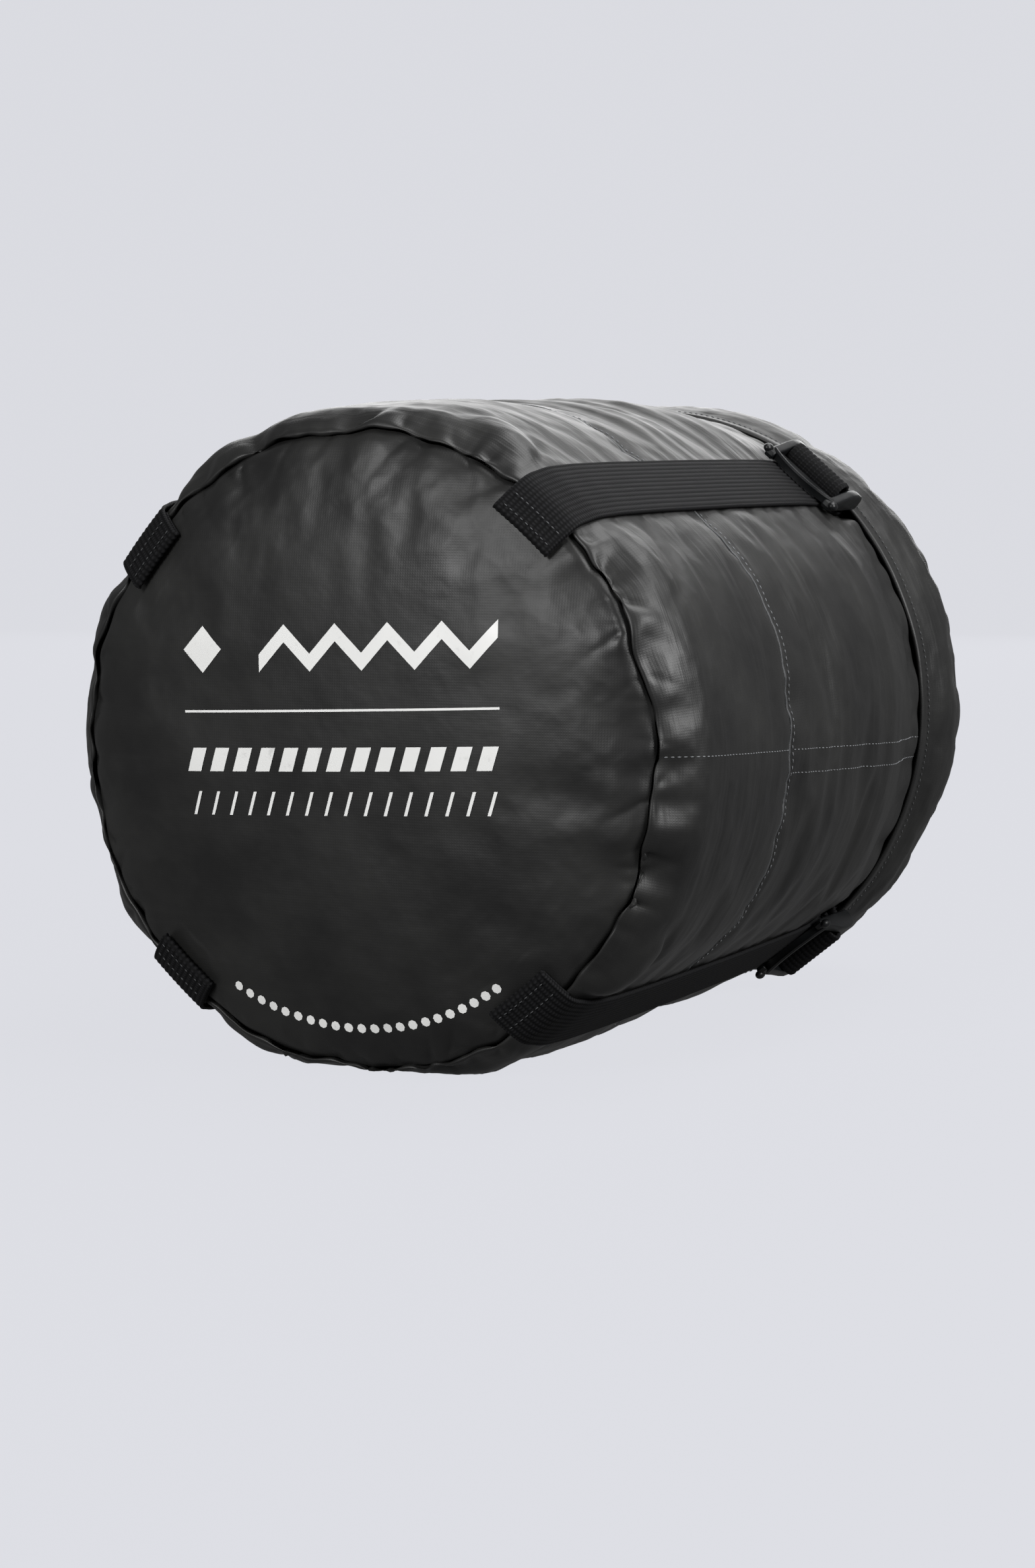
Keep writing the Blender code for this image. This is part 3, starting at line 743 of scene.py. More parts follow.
def stitch_line(bm, points, normals):
    """Lay a row of stitches along surface points."""
    thread = sizes().thread
    length = sizes().stitch
    size = Matrix.Diagonal((length * STITCH_SHARE / 2.0, thread / 2.0, thread / 2.0, 1.0))
    run = 0.0
    mark = length / 2.0
    for (a, b), up in zip(zip(points, points[1:]), normals):
        span = (b - a).length
        while mark < run + span:
            centre = a.lerp(b, (mark - run) / span)
            forward = (b - a).normalized()
            across = up.cross(forward).normalized()
            lift = forward.cross(across)
            turn = Matrix((forward, across, lift)).transposed().to_4x4()
            bmesh.ops.create_uvsphere(
                bm, u_segments=6, v_segments=4, radius=1.0,
                matrix=Matrix.Translation(centre + up * thread * 0.2) @ turn @ size)
            mark += length
        run += span


# ---- operators ----------------------------------------------------------------------------
class SACK_OT_stage(bpy.types.Operator):
    """Pale floor, soft studio lights and the camera"""

    bl_idname = "sack.stage"
    bl_label = "Stage"

    def execute(self, context):
        scene = context.scene
        scene.view_settings.view_transform = "Standard"
        bm = bmesh.new()
        bmesh.ops.create_grid(bm, x_segments=2, y_segments=80, size=8.0)
        # Three metres before and behind the sack the floor curves up into a backdrop.
        for vertex in bm.verts:
            rise = max(0.0, abs(vertex.co.y) - 3.0)
            vertex.co.z = min(rise, 1.5) ** 2 * 0.6 + max(0.0, rise - 1.5) * 2.0 - FLOOR_GAP
        mesh = bpy.data.meshes.new("studio_floor")
        bm.to_mesh(mesh)
        bm.free()
        mesh.shade_smooth()
        floor = bpy.data.objects.new("studio_floor", mesh)
        scene.collection.objects.link(floor)
        # Seamless paper, lit by its own lamps so that it stays one even tone.
        new_material("seamless paper, pale", {
            "Roughness": 0.9, "Specular IOR Level": 0.0, "Base Color": linear("#242426"),
            "Emission Color": linear(colours().backdrop), "Emission Strength": 0.93})
        mesh.materials.append(bpy.data.materials["seamless paper, pale"])
        floor.visible_diffuse = False
        floor.visible_glossy = False
        world = bpy.data.worlds.new("studio")
        world.use_nodes = True
        background = world.node_tree.nodes["Background"]
        background.inputs[0].default_value = linear("#CDCDCE")
        background.inputs[1].default_value = 0.30
        scene.world = world
        target = Vector((0.0, 0.0, AXIS_Z))
        for name, spot, size, power in (
                ("top_softbox", (0.45, 0.35, 1.35), 0.8, 15.0),
                ("back_softbox", (-0.75, 1.9, 0.85), 1.5, 26.0),
                ("side_softbox", (1.7, -0.1, 0.9), 0.75, 32.0),
                ("front_softbox", (-0.15, -2.1, 0.95), 0.7, 34.0)):
            light = bpy.data.lights.new(name, "AREA")
            light.size = size
            light.energy = power
            lamp = bpy.data.objects.new(name, light)
            scene.collection.objects.link(lamp)
            lamp.location = spot
            lamp.visible_camera = False
            lamp.rotation_euler = (target - lamp.location).to_track_quat("-Z", "Y").to_euler()
        lens = bpy.data.cameras.new("camera")
        lens.lens = 77.66
        camera = bpy.data.objects.new("camera", lens)
        scene.collection.objects.link(camera)
        camera.location = (0.5511, -1.1410, 0.2191)
        aim = Vector((-0.0093, -0.0075, 0.0850))
        camera.rotation_euler = (aim - camera.location).to_track_quat("-Z", "Y").to_euler()
        scene.camera = camera
        return {"FINISHED"}


class SACK_OT_base(bpy.types.Operator):
    """Pillowed round base panel, gathered at its rim"""

    bl_idname = "sack.base"
    bl_label = "Base panel"

    def execute(self, context):
        rim = BASE_RADIUS + 0.0006
        folds = [(at, wide, 0.55 * run, 0.75 * deep) for at, wide, run, deep in gathers(SEED, rim)]
        # The rim's last steps turn down into the seam.
        shape = [*DOME, (rim - 0.0029, -0.0019), (rim - 0.0010, -0.0003), (rim, 0.0024)]

        def ripple(point, share):
            return 0.0006 * noise.noise(Vector((point.x, point.z, 0.0)) * 5.0)

        bm = domed(110, rim, shape, folds, -1, ripple, wander)
        piece = finish_piece("base_panel_cloth", bm, "base", "sack", ["base_panel"])

        def from_rim(point):
            return rim - math.hypot(point.x, point.z - AXIS_Z)

        def pins(point):
            inward = from_rim(point)
            on_strap = inward < 0.011 and from_nearest_strap(degrees_of(point)) < 5.6
            return 1.0 if inward < 0.0022 or on_strap else 0.0

        def loose(point):
            patch = 0.5 + 0.5 * noise.noise(point * 25.0)
            return (1.0 - smoothstep(0.003, 0.012, from_rim(point))) * (0.2 + 0.8 * patch)

        settle_cloth(piece, pins, loose, 0.001, 0.045, 1.5, 4.0, 0.003)
        short = puckers(SEED + 5, rim, 0.010, 0.0016)

        def offset_of(point):
            inward = from_rim(point)
            degrees = degrees_of(point)
            calm = smoothstep(6.0, 10.0, from_nearest_strap(degrees)) if inward < 0.016 else 1.0
            fade = 1.0 - smoothstep(0.006, 0.060, inward)
            fold = puckered(short, degrees, max(inward, 0.0), rim) if inward < 0.030 else 0.0
            keep = smoothstep(0.0, 0.0015, inward) * calm
            return crushed(point, 0.016, 0.0006) * (0.15 + 0.85 * fade) * keep - fold * keep

        refine(piece, offset_of)
        return {"FINISHED"}


class SACK_OT_flank(bpy.types.Operator):
    """Base band and side panel, swollen between the straps"""

    bl_idname = "sack.flank"
    bl_label = "Flank"

    def execute(self, context):
        groove = 0.0009
        front = [
            (0.1077, 0.0030), (0.1078, 0.0017), (0.1083, 0.0008), (0.1091, 0.0009), (0.1102, 0.0020),
            (0.1117, 0.0047), (0.1128, 0.0080)]
        seam = [
            (0.1153, MID_SEAM - 0.0030), (0.1155, MID_SEAM - 0.0012), (0.1152 - groove, MID_SEAM),
            (0.1151, MID_SEAM + 0.0012)]
        rest = [p for p in FLANK[2:] if p[1] < MID_SEAM] + seam + [p for p in FLANK if p[1] > MID_SEAM]
        route = [Vector(p) for p in front] + softened(resampled(rest, sizes().cloth_step), 1)
        bm = spun(route, sizes().columns)
        folds = gathers(SEED, BASE_RADIUS)
        hem_folds = gathers(SEED + 1, HEM_ROUND)
        seam_folds = gathers(SEED + 2, MID_ROUND)
        for vertex in bm.verts:
            along, degrees, radius = where(vertex.co)
            strap = from_nearest_strap(degrees)
            free = smoothstep(6.0, 22.0, strap)
            window = smoothstep(0.002, 0.024, along) * (1.0 - smoothstep(0.190, 0.228, along))
            # Lying down, the sack spreads sideways more than it rises.
            spread = 0.5 + 0.9 * abs(math.cos(math.radians(degrees)))
            grow = sizes().lobe * spread * free * window
            # The cloth rolls over the base seam in a fat edge, except under the straps.
            rolled = smoothstep(0.0008, 0.005, along) * (1.0 - smoothstep(0.010, 0.030, along))
            grow += 0.0016 * rolled * smoothstep(6.5, 11.0, strap)
            # Between the straps the cloth stays full right up to the cap, then tucks under it.
            if 0.170 < along < 0.250:
                full = radius_at(FULL_TO_CAP, along)
                grow += max(0.0, full - radius) * smoothstep(6.8, 10.5, strap)
            pleat = gathered(folds, degrees, max(along, 0.0), BASE_RADIUS)
            held = 0.2 + 0.8 * smoothstep(6.0, 11.0, strap)
            grow -= pleat * smoothstep(0.0006, 0.004, along) * held
            out, forward = wander(degrees)
            edge = 1.0 - smoothstep(0.002, 0.016, along)
            grow += out * edge
            vertex.co.y += (forward + 0.35 * pleat) * edge
            hem_pleat = gathered(hem_folds, degrees, max(0.0, HEM - 0.004 - along), HEM_ROUND)
            grow -= 0.45 * hem_pleat * smoothstep(5.0, 12.0, strap)
            grow -= 0.30 * gathered(seam_folds, degrees, abs(along - MID_SEAM), MID_ROUND) * free
            grow += 0.0007 * lumps(vertex.co, along, 22.0, 45.0) * free * window
            # Long creases drawn round the body by the straps, strongest behind the mid seam and on top.
            crease = 1.0 - abs(lumps(vertex.co, along + 0.10 * vertex.co.x, 9.0, 75.0))
            behind, on_top = smoothstep(0.07, 0.14, along), smoothstep(0.13, 0.20, vertex.co.z)
            pull = 0.25 + 0.35 * behind + 0.9 * on_top
            grow += 0.0014 * (crease ** 3 - 0.6) * pull * free * window
            push_out(vertex, radius, grow)
        whole = finish_piece("flank_cloth", bm, "flank", "sack")
        keep_above_floor(whole, body_floor)

        def pins(point):
            along = point.y - SEAM_Y
            under_strap = from_nearest_strap(degrees_of(point)) < 5.4
            at_seam = abs(along - MID_SEAM) < 0.0008
            return 1.0 if along < 0.0015 or along > HEM - 0.0035 or at_seam or under_strap else 0.0

        def loose(point):
            along = point.y - SEAM_Y
            patch = 0.5 + 0.5 * lumps(point, along, 20.0, 30.0)
            near_base = (1.0 - smoothstep(0.004, 0.030, along)) * (0.4 + 0.6 * patch)
            near_mid = 0.5 * (1.0 - smoothstep(0.0, 0.014, abs(along - MID_SEAM))) * patch
            rear = 0.45 * smoothstep(0.10, 0.19, along) * patch
            return max(near_base, near_mid, rear, 0.15 * patch)

        settle_cloth(whole, pins, loose, 0.008, 0.075, 3.5, 2.5, 0.006)
        front_short = puckers(SEED + 6, BASE_RADIUS, 0.0080, 0.0034)
        hem_short = puckers(SEED + 7, CAP_ROUND, 0.012, 0.0016)
        mid_short = puckers(SEED + 8, MID_ROUND, 0.014, 0.0009)

        def folds_at(along, degrees):
            """Depth of the short folds at the base seam, the hem and the mid seam."""
            depth = 0.0
            if along < 0.040:
                start = smoothstep(0.0008, 0.0030, along)
                depth += puckered(front_short, degrees, max(along, 0.0), BASE_RADIUS) * start
            if HEM - 0.035 < along < HEM:
                depth += puckered(hem_short, degrees, HEM - along, CAP_ROUND)
            if abs(along - MID_SEAM) < 0.03:
                depth += puckered(mid_short, degrees, abs(along - MID_SEAM), MID_ROUND)
            return depth

        def billows_at(point, along, degrees):
            """Height of the billows: round swellings, each with a crease on its far side."""
            total = 0.0
            for centre, middle, size, height in BILLOWS:
                across = math.radians(degrees_past(degrees, centre)) * MID_ROUND
                warp = 0.35 * noise.noise(point * 70.0)
                reach = math.hypot(0.75 * across, along - middle - 0.3 * across) / size + warp
                if -1.0 < reach < 3.0:
                    far_side = 0.5 + 0.5 * math.tanh((along - middle) / size)
                    crease = 0.5 * far_side * math.exp(-((reach - 1.4) / 0.32) ** 2)
                    total += height * (math.exp(-reach ** 2) - crease)
            return total

        def offset_of(point):
            along = point.y - SEAM_Y
            degrees = degrees_of(point)
            clear = smoothstep(6.0, 9.5, from_nearest_strap(degrees))
            if clear == 0.0 or along > HEM - 0.002:
                return 0.0
            rough = 0.45 + 0.55 * (1.0 - smoothstep(0.012, 0.060, along))
            marks = crushed(Vector((point.x, point.y * 1.6, point.z)), 0.017, 0.0008) * rough
            raised = billows_at(point, along, degrees) - folds_at(along, degrees)
            ends = smoothstep(0.0, 0.003, along) * smoothstep(0.002, 0.008, HEM - along)
            return (marks + raised) * clear * ends

        refine(whole, offset_of)
        keep_above_floor(whole, body_floor)
        for name, node_name, keep_front in (
                ("base_band_cloth", "base_band", True), ("side_panel_cloth", "side_panel", False)):
            half = bmesh.new()
            half.from_mesh(whole.data)
            wrong = [f for f in half.faces if (f.calc_center_median().y - SEAM_Y < MID_SEAM) != keep_front]
            bmesh.ops.delete(half, geom=wrong, context="FACES")
            piece = finish_piece(name, half, "flank", "sack", [node_name])
        bpy.data.objects.remove(whole, do_unlink=True)
        return {"FINISHED"}


class SACK_OT_mouth(bpy.types.Operator):
    """Gathered end under the cap, its channel, and what the sack is packed with"""

    bl_idname = "sack.mouth"
    bl_label = "Mouth and contents"

    def execute(self, context):
        route = softened(resampled(MOUTH, 0.0030), 2)
        bm = spun(route, 240)
        rng = random.Random(SEED)
        pleats = [
            (rng.uniform(0.0, 360.0), rng.uniform(2.0, 5.0), rng.uniform(0.4, 1.0)) for _ in range(46)]
        for vertex in bm.verts:
            along, degrees, radius = where(vertex.co)
            depth = 0.0
            for centre, width, height in pleats:
                depth += height * math.exp(-(degrees_past(degrees, centre) / width) ** 2)
            inward = smoothstep(0.095, 0.055, radius) * smoothstep(0.016, 0.024, radius)
            vertex.co.y -= 0.0012 * depth * inward
            vertex.co.z = max(vertex.co.z, AXIS_Z - body_floor(along))
        piece = finish_piece("gathered_end_cloth", bm, "flank", "sack")
        channel = bmesh.new()
        channel.loops.layers.uv.new("cloth")
        channel.from_mesh(frame["nodes"]["mouth_hem"].data)
        bmesh.ops.remove_doubles(channel, verts=channel.verts, dist=1e-6)
        for vertex in channel.verts:
            # The channel's cloth is drawn into 34 small gathers.
            push = 0.00022 * math.sin(math.radians(degrees_of(vertex.co)) * 34.0)
            vertex.co += vertex.normal * push
        lay_uv_flat(channel)
        hem = finish_piece("drawcord_channel", channel, "flank", "sack", ["mouth_hem"])
        subdivide(hem)
        lump = bmesh.new()
        bmesh.ops.create_uvsphere(lump, u_segments=64, v_segments=40, radius=1.0)
        length = 0.262
        for vertex in lump.verts:
            along = (vertex.co.z * 0.5 + 0.5) * length - 0.004
            spread = math.hypot(vertex.co.x, vertex.co.y)
            full = min(1.0, spread * 1.6) * 0.100
            degrees = math.degrees(math.atan2(vertex.co.y, vertex.co.x))
            fold = 0.002 * math.sin(along * 210.0 + math.sin(math.radians(degrees) * 3.0) * 1.5)
            vertex.co = place(max(full + fold * spread, 0.0), along, degrees)
            vertex.co.z = max(vertex.co.z, 0.012)
        bmesh.ops.recalc_face_normals(lump, faces=lump.faces)
        clothes = finish_piece(
            "folded_clothes", lump, "knit", "sack", ["packed_contents"])
        return {"FINISHED"}


class SACK_OT_cap(bpy.types.Operator):
    """Cap: side band with its folded hem, and a domed top panel"""

    bl_idname = "sack.cap"
    bl_label = "Cap"

    def execute(self, context):
        self.band()
        self.top()
        self.hem()
        return {"FINISHED"}

    def band(self):
        """The cap's side, swollen between the hem and the top seam."""
        lining = [(0.1131, HEM + 0.010), (0.1130, HEM + 0.0004)]
        route = lining + CAP_SIDE + [(0.1108, CAP_SEAM - 0.0006)]
        bm = spun(softened(resampled(route, sizes().cloth_step), 1), 300)
        folds = gathers(SEED + 3, CAP_ROUND)
        for vertex in bm.verts:
            along, degrees, radius = where(vertex.co)
            before_seam = CAP_SEAM - along
            past_hem = smoothstep(HEM_END - 0.001, HEM_END + 0.006, along)
            outside = smoothstep(0.1134, 0.1139, radius) * past_hem
            fold = gathered(folds, degrees, before_seam, CAP_ROUND) * smoothstep(0.0, 0.002, before_seam)
            spread = abs(math.cos(math.radians(degrees))) * smoothstep(0.0, 0.018, before_seam)
            spread *= smoothstep(HEM_END - 0.001, HEM_END + 0.012, along)
            lump = lumps(vertex.co, along, 18.0, 60.0)
            push_out(vertex, radius, (0.0010 * lump - fold + 0.0026 * spread) * outside)
        band = finish_piece("cap_band_cloth", bm, "flank", "cap", ["cap_band"])

        def band_floor(along):
            return AXIS_Z - CAP_LIFT

        keep_above_floor(band, band_floor)

        def pins(point):
            along, _, radius = where(point)
            sewn = along < HEM_END or along > CAP_SEAM - 0.0012
            return 1.0 if sewn or radius < LINING_RADIUS else 0.0

        def loose(point):
            along = point.y - SEAM_Y
            patch = 0.5 + 0.5 * lumps(point, along, 16.0, 30.0)
            return patch * (0.4 + 0.6 * smoothstep(0.014, 0.0, CAP_SEAM - along))

        settle_cloth(band, pins, loose, 0.010, 0.070, 3.0, 2.0, 0.004)
        short = puckers(SEED + 9, CAP_ROUND, 0.011, 0.0018)

        def offset_of(point):
            along, degrees, radius = where(point)
            if radius < LINING_RADIUS or along < HEM_END:
                return 0.0
            depth = puckered(short, degrees, max(CAP_SEAM - along, 0.0), CAP_ROUND)
            marks = crushed(Vector((point.x, point.y * 2.6, point.z)), 0.018, 0.0010)
            ends = smoothstep(0.0, 0.003, CAP_SEAM - along) * smoothstep(HEM_END, HEM_END + 0.004, along)
            return (marks - depth) * ends

        refine(band, offset_of)
        keep_above_floor(band, band_floor)

    def top(self):
        """The domed top panel, gathered into the cap's seam."""
        crown = [
            *CAP_CROWN[:0:-1], (CAP_RIM - 0.0012, CAP_SEAM + 0.0022), (CAP_RIM, CAP_SEAM - 0.0004)]
        folds = gathers(SEED + 3, CAP_ROUND)

        def ripple(point, share):
            wave = noise.noise(Vector((point.x, point.z, 3.0)) * 5.0)
            return 0.0010 * wave * smoothstep(1.0, 0.8, share)

        def true_edge(degrees):
            return 0.0, 0.0

        bm = domed(90, CAP_RIM, crown, folds, 1, ripple, true_edge, 0.0017 - AXIS_Z)
        lid = finish_piece("cap_top_cloth", bm, "base", "cap", ["cap_top_panel"])

        def from_rim(point):
            return CAP_RIM - math.hypot(point.x, point.z - AXIS_Z)

        def pins(point):
            return 1.0 if from_rim(point) < 0.0022 else 0.0

        def loose(point):
            centre = 1.0 - smoothstep(0.003, 0.085, from_rim(point))
            return centre * (0.6 + 0.4 * noise.noise(point * 30.0))

        settle_cloth(lid, pins, loose, 0.004, 0.045, 2.0, 3.0, 0.004)
        short = puckers(SEED + 12, CAP_RIM, 0.009, 0.0024)

        def offset_of(point):
            inward = from_rim(point)
            fold = 0.0
            if inward < 0.035:
                fold = puckered(short, degrees_of(point), max(inward, 0.0), CAP_RIM)
            rough = 0.25 + 0.75 * (1.0 - smoothstep(0.010, 0.060, inward))
            return (crushed(point, 0.018, 0.0008) * rough - fold) * smoothstep(0.0, 0.0015, inward)

        refine(lid, offset_of)

    def hem(self):
        """The folded hem, a flat ring that waves a little."""
        outer = HEM_RADIUS - 0.0005
        fold = [
            (0.1143, HEM_END), (outer - 0.0002, HEM_END - 0.0006), (outer, HEM + 0.0030),
            (outer, HEM + 0.0009), (outer - 0.0008, HEM), (0.1136, HEM + 0.0001),
            (0.1131, HEM + 0.0012)]
        edge = spun(softened(resampled(fold[::-1], 0.0007), 2), 300)
        for vertex in edge.verts:
            _, degrees, radius = where(vertex.co)
            round_hem = unit(degrees) * 5.0
            spot = Vector((round_hem.x, vertex.co.y * 60.0, round_hem.y))
            push_out(vertex, radius, 0.00035 * noise.noise(spot))
            vertex.co.z = max(vertex.co.z, 0.0)
        hem = finish_piece("cap_hem_fold", edge, "flank", "cap", ["cap_hem"])


def webbing_piece(name, route, angle, curl, thickness, node_name, body, ribs=True):
    """A strip laid along a (radius, along) route; curl bends it round the flank."""
    width = sizes().webbing
    count = sizes().ribs
    across = count * 4 if ribs else 12
    bm = bmesh.new()
    uv = bm.loops.layers.uv.new("cloth")
    bmesh.ops.create_grid(bm, x_segments=len(route) - 1, y_segments=across, size=0.5)
    normals = normals_of(route)
    runs = [0.0]
    for a, b in zip(route, route[1:]):
        runs.append(runs[-1] + (b - a).length)
    texture = {}
    for vertex in bm.verts:
        station = round((vertex.co.x + 0.5) * (len(route) - 1))
        side = vertex.co.y * width
        rib = RIB_HEIGHT * math.cos(2.0 * math.pi * count * vertex.co.y) if ribs else 0.0
        point = route[station] + normals[station] * rib
        texture[vertex] = (side, runs[station])
        vertex.co = place(point.x, point.y, angle, side, curl(route[station].y))
    for face in bm.faces:
        for loop in face.loops:
            loop[uv].uv = texture[loop.vert]
    bm.normal_update()
    bmesh.ops.recalc_face_normals(bm, faces=bm.faces)
    piece = finish_piece(name, bm, "webbing", body, [node_name])
    wall = piece.modifiers.new("thickness", "SOLIDIFY")
    wall.thickness = thickness
    wall.offset = 0.0


class SACK_OT_straps(bpy.types.Operator):
    """Four ribbed straps with folded, stitched ends, their turns and the buckle loops"""

    bl_idname = "sack.straps"
    bl_label = "Straps"

    def execute(self, context):
        thick = sizes().webbing_thickness
        skin = [(0.0990, -0.0040), (BASE_RADIUS - 0.0002, -0.0004), *FLANK, *MOUTH[1:4]]
        under = softened(resampled(skin, 0.0016), 5)
        under = [p + n * (CLEARANCE + thick / 2.0) for p, n in zip(under, normals_of(under))]
        normals = normals_of(under)
        # The strap starts under its own folded end, turns back and runs over it.
        over = []
        for i, (point, normal) in enumerate(zip(under, normals)):
            doubled = 1.0 - smoothstep(FOLD_STEPS, FOLD_STEPS + 5, i)
            over.append(point + normal * (thick + CLEARANCE) * doubled)
        back = (under[0] - under[1]).normalized()
        half = (over[0] - under[0]).length / 2.0
        centre = (over[0] + under[0]) / 2.0
        turn = []
        for i in range(1, 6):
            bend = math.pi * i / 6.0
            turn.append(centre - normals[0] * half * math.cos(bend) + back * half * math.sin(bend))
        route = under[FOLD_STEPS:0:-1] + [under[0]] + turn + over

        def curl(along):
            return 0.5 + 0.5 * smoothstep(0.205, 0.232, along)

        for side, angle in STRAP_ANGLES.items():
            webbing_piece(
                f"webbing_strap_{side}", route, angle, curl, thick, f"strap_{side}", "sack")
            self.stitch(side, angle, over, curl, thick)
            self.turn_over_bar(side, angle)
            self.loop(side, angle)
        return {"FINISHED"}

    def stitch(self, side, angle, over, curl, thick):
        """Two rows of thread across the folded end."""
        bm = bmesh.new()
        width = 0.9 * sizes().webbing
        normals = normals_of(over)

        def spot(index, across):
            point = over[index] + normals[index] * (thick / 2.0 + RIB_HEIGHT)
            return place(point.x, point.y, angle, across, curl(over[index].y))

        for index in (1, 4):
            points = [spot(index, width * (i / 16.0 - 0.5)) for i in range(17)]
            surface = place(over[index].x, over[index].y, angle)
            stitch_line(bm, points, [(spot(index, 0.0) - surface).normalized()] * 16)
        finish_piece(f"strap_stitches_{side}", bm, "worn_thread", "sack")

    def turn_over_bar(self, side, angle):
        """The strap's fat roll over the locking bar."""
        middle = HINGE_ALONG - BAR_TO_HINGE
        centre = HINGE_RADIUS + 0.0020
        reach = 0.0038
        route = [Vector((0.1126, middle - reach)), Vector((0.1150, middle - reach - 0.0001))]
        for i in range(15):
            turn = math.pi * (1.0 - i / 14.0)
            route.append(Vector((centre + reach * math.sin(turn) * 1.10, middle + reach * math.cos(turn))))
        route += [Vector((0.1150, middle + reach + 0.0001)), Vector((0.1120, middle + reach))]
        webbing_piece(
            f"webbing_turn_{side}", route[::-1], angle, lambda along: 0.0, 0.0016,
            f"strap_turn_{side}", f"buckle_{side}")

    def loop(self, side, angle):
        """Flat webbing sewn inside the hem and folded round the rear bar."""
        around = 0.0027
        route = [(0.1109, 0.2620), (0.1109, 0.2520), (0.1109, 0.2410), (0.1118, 0.2390)]
        for i in range(17):
            turn = math.radians(-55.0 - i * 305.0 / 16.0)
            route.append((HINGE_RADIUS + around * math.sin(turn), HINGE_ALONG + around * math.cos(turn)))
        route += [(0.1142, 0.2390), (0.1120, 0.2400), (0.1120, 0.2520), (0.1120, 0.2620)]
        webbing_piece(
            f"webbing_loop_{side}", [Vector(p) for p in route], angle,
            lambda along: smoothstep(0.2384, 0.2400, along), 0.0008,
            f"buckle_loop_{side}", "cap", ribs=False)


class SACK_OT_ladderlocks(bpy.types.Operator):
    """Four moulded ladderlocks with a bowed, raised lip"""

    bl_idname = "sack.ladderlocks"
    bl_label = "Ladderlocks"

    def execute(self, context):
        for side, angle in STRAP_ANGLES.items():
            bm = bmesh.new()
            self.rails(bm)
            self.bars(bm)
            self.lip(bm)
            hinge = HINGES[side]
            turn = Matrix.Rotation(-math.radians(angle), 4, "Y")
            bmesh.ops.transform(bm, matrix=Matrix.Translation(hinge) @ turn, verts=bm.verts)
            finish_piece(
                f"ladderlock_moulding_{side}", bm, "buckle", f"buckle_{side}",
                [f"ladderlock_{side}"], 40.0)
        return {"FINISHED"}

    def rails(self, bm):
        """Chunky side rails, tallest by the webbing and swept down to the front."""
        outline = [
            (-0.0018, -0.0265), (-0.0022, -0.0220), (-0.0022, 0.0012), (-0.0017, 0.0024), (0.0004, 0.0031),
            (0.0030, 0.0025), (0.0045, 0.0006), (0.0051, -0.0028), (0.0051, -0.0088), (0.0043, -0.0130),
            (0.0028, -0.0180), (0.0018, -0.0230), (0.0010, -0.0265), (-0.0004, -0.0272)]
        for sign in (-1.0, 1.0):
            before = set(bm.faces)
            flat = bm.faces.new([bm.verts.new((w, y, sign * RAIL_INSIDE)) for w, y in outline])
            pulled = bmesh.ops.extrude_face_region(bm, geom=[flat], use_keep_orig=True)["geom"]
            moved = [item for item in pulled if isinstance(item, bmesh.types.BMVert)]
            bmesh.ops.translate(bm, verts=moved, vec=(0.0, 0.0, sign * RAIL_WIDTH))
            made = [face for face in bm.faces if face not in before]
            bmesh.ops.recalc_face_normals(bm, faces=made)
            rims = {e for face in made if len(face.verts) == len(outline) for e in face.edges}
            bmesh.ops.bevel(
                bm, geom=list(rims), offset=0.0007, segments=3, profile=0.5, affect="EDGES", material=-1,
                clamp_overlap=True)
            # A small ear at the front corner, to lift the buckle by.
            ear = Matrix.Translation((0.0008, -0.0252, sign * 0.0172))
            ear @= Matrix.Diagonal((0.0017, 0.0026, 0.0019, 1.0))
            bmesh.ops.create_uvsphere(bm, u_segments=16, v_segments=10, radius=1.0, matrix=ear)

    def bars(self, bm):
        """Round rear bar, gripping locking bar and the front cross-plate."""
        for radius, w, y in ((0.0020, 0.0, 0.0), (0.0016, 0.0008, -BAR_TO_HINGE)):
            bmesh.ops.create_cone(
                bm, cap_ends=True, segments=24, radius1=radius, radius2=radius, depth=BAR_LENGTH,
                matrix=Matrix.Translation((w, y, 0.0)))
        plate = Matrix.Translation((0.0002, -0.0214, 0.0))
        plate @= Matrix.Diagonal((0.0018, 0.0060, BAR_LENGTH + 0.0002, 1.0))
        made = bmesh.ops.create_cube(bm, size=1.0, matrix=plate)["verts"]
        edges = list({e for v in made for e in v.link_edges})
        bmesh.ops.bevel(bm, geom=edges, offset=0.0005, segments=2, profile=0.5, affect="EDGES", material=-1)

    def lip(self, bm):
        """A thin lip that bows forward between the rails and stands up from the plate."""
        chord = 0.0152
        bow = 0.0052
        arc = (chord * chord + bow * bow) / (2.0 * bow)
        centre_y = -0.0228 - bow + arc
        half = math.asin(chord / arc)
        section = [
            (-0.0010, 0.0008), (-0.0010, -0.0006), (0.0008, -0.0007), (0.0016, -0.0010), (0.0023, -0.0006),
            (0.0024, 0.0001), (0.0018, 0.0006), (0.0010, 0.0004)]
        start = []
        for w, out in section:
            distance = arc - out
            start.append(bm.verts.new((
                w, centre_y - distance * math.cos(half), -distance * math.sin(half))))
        bmesh.ops.spin(
            bm, geom=[bm.faces.new(start)], cent=(0.0, centre_y, 0.0), axis=(1.0, 0.0, 0.0),
            angle=-2.0 * half, steps=26, use_duplicate=False)
        bmesh.ops.recalc_face_normals(bm, faces=bm.faces)


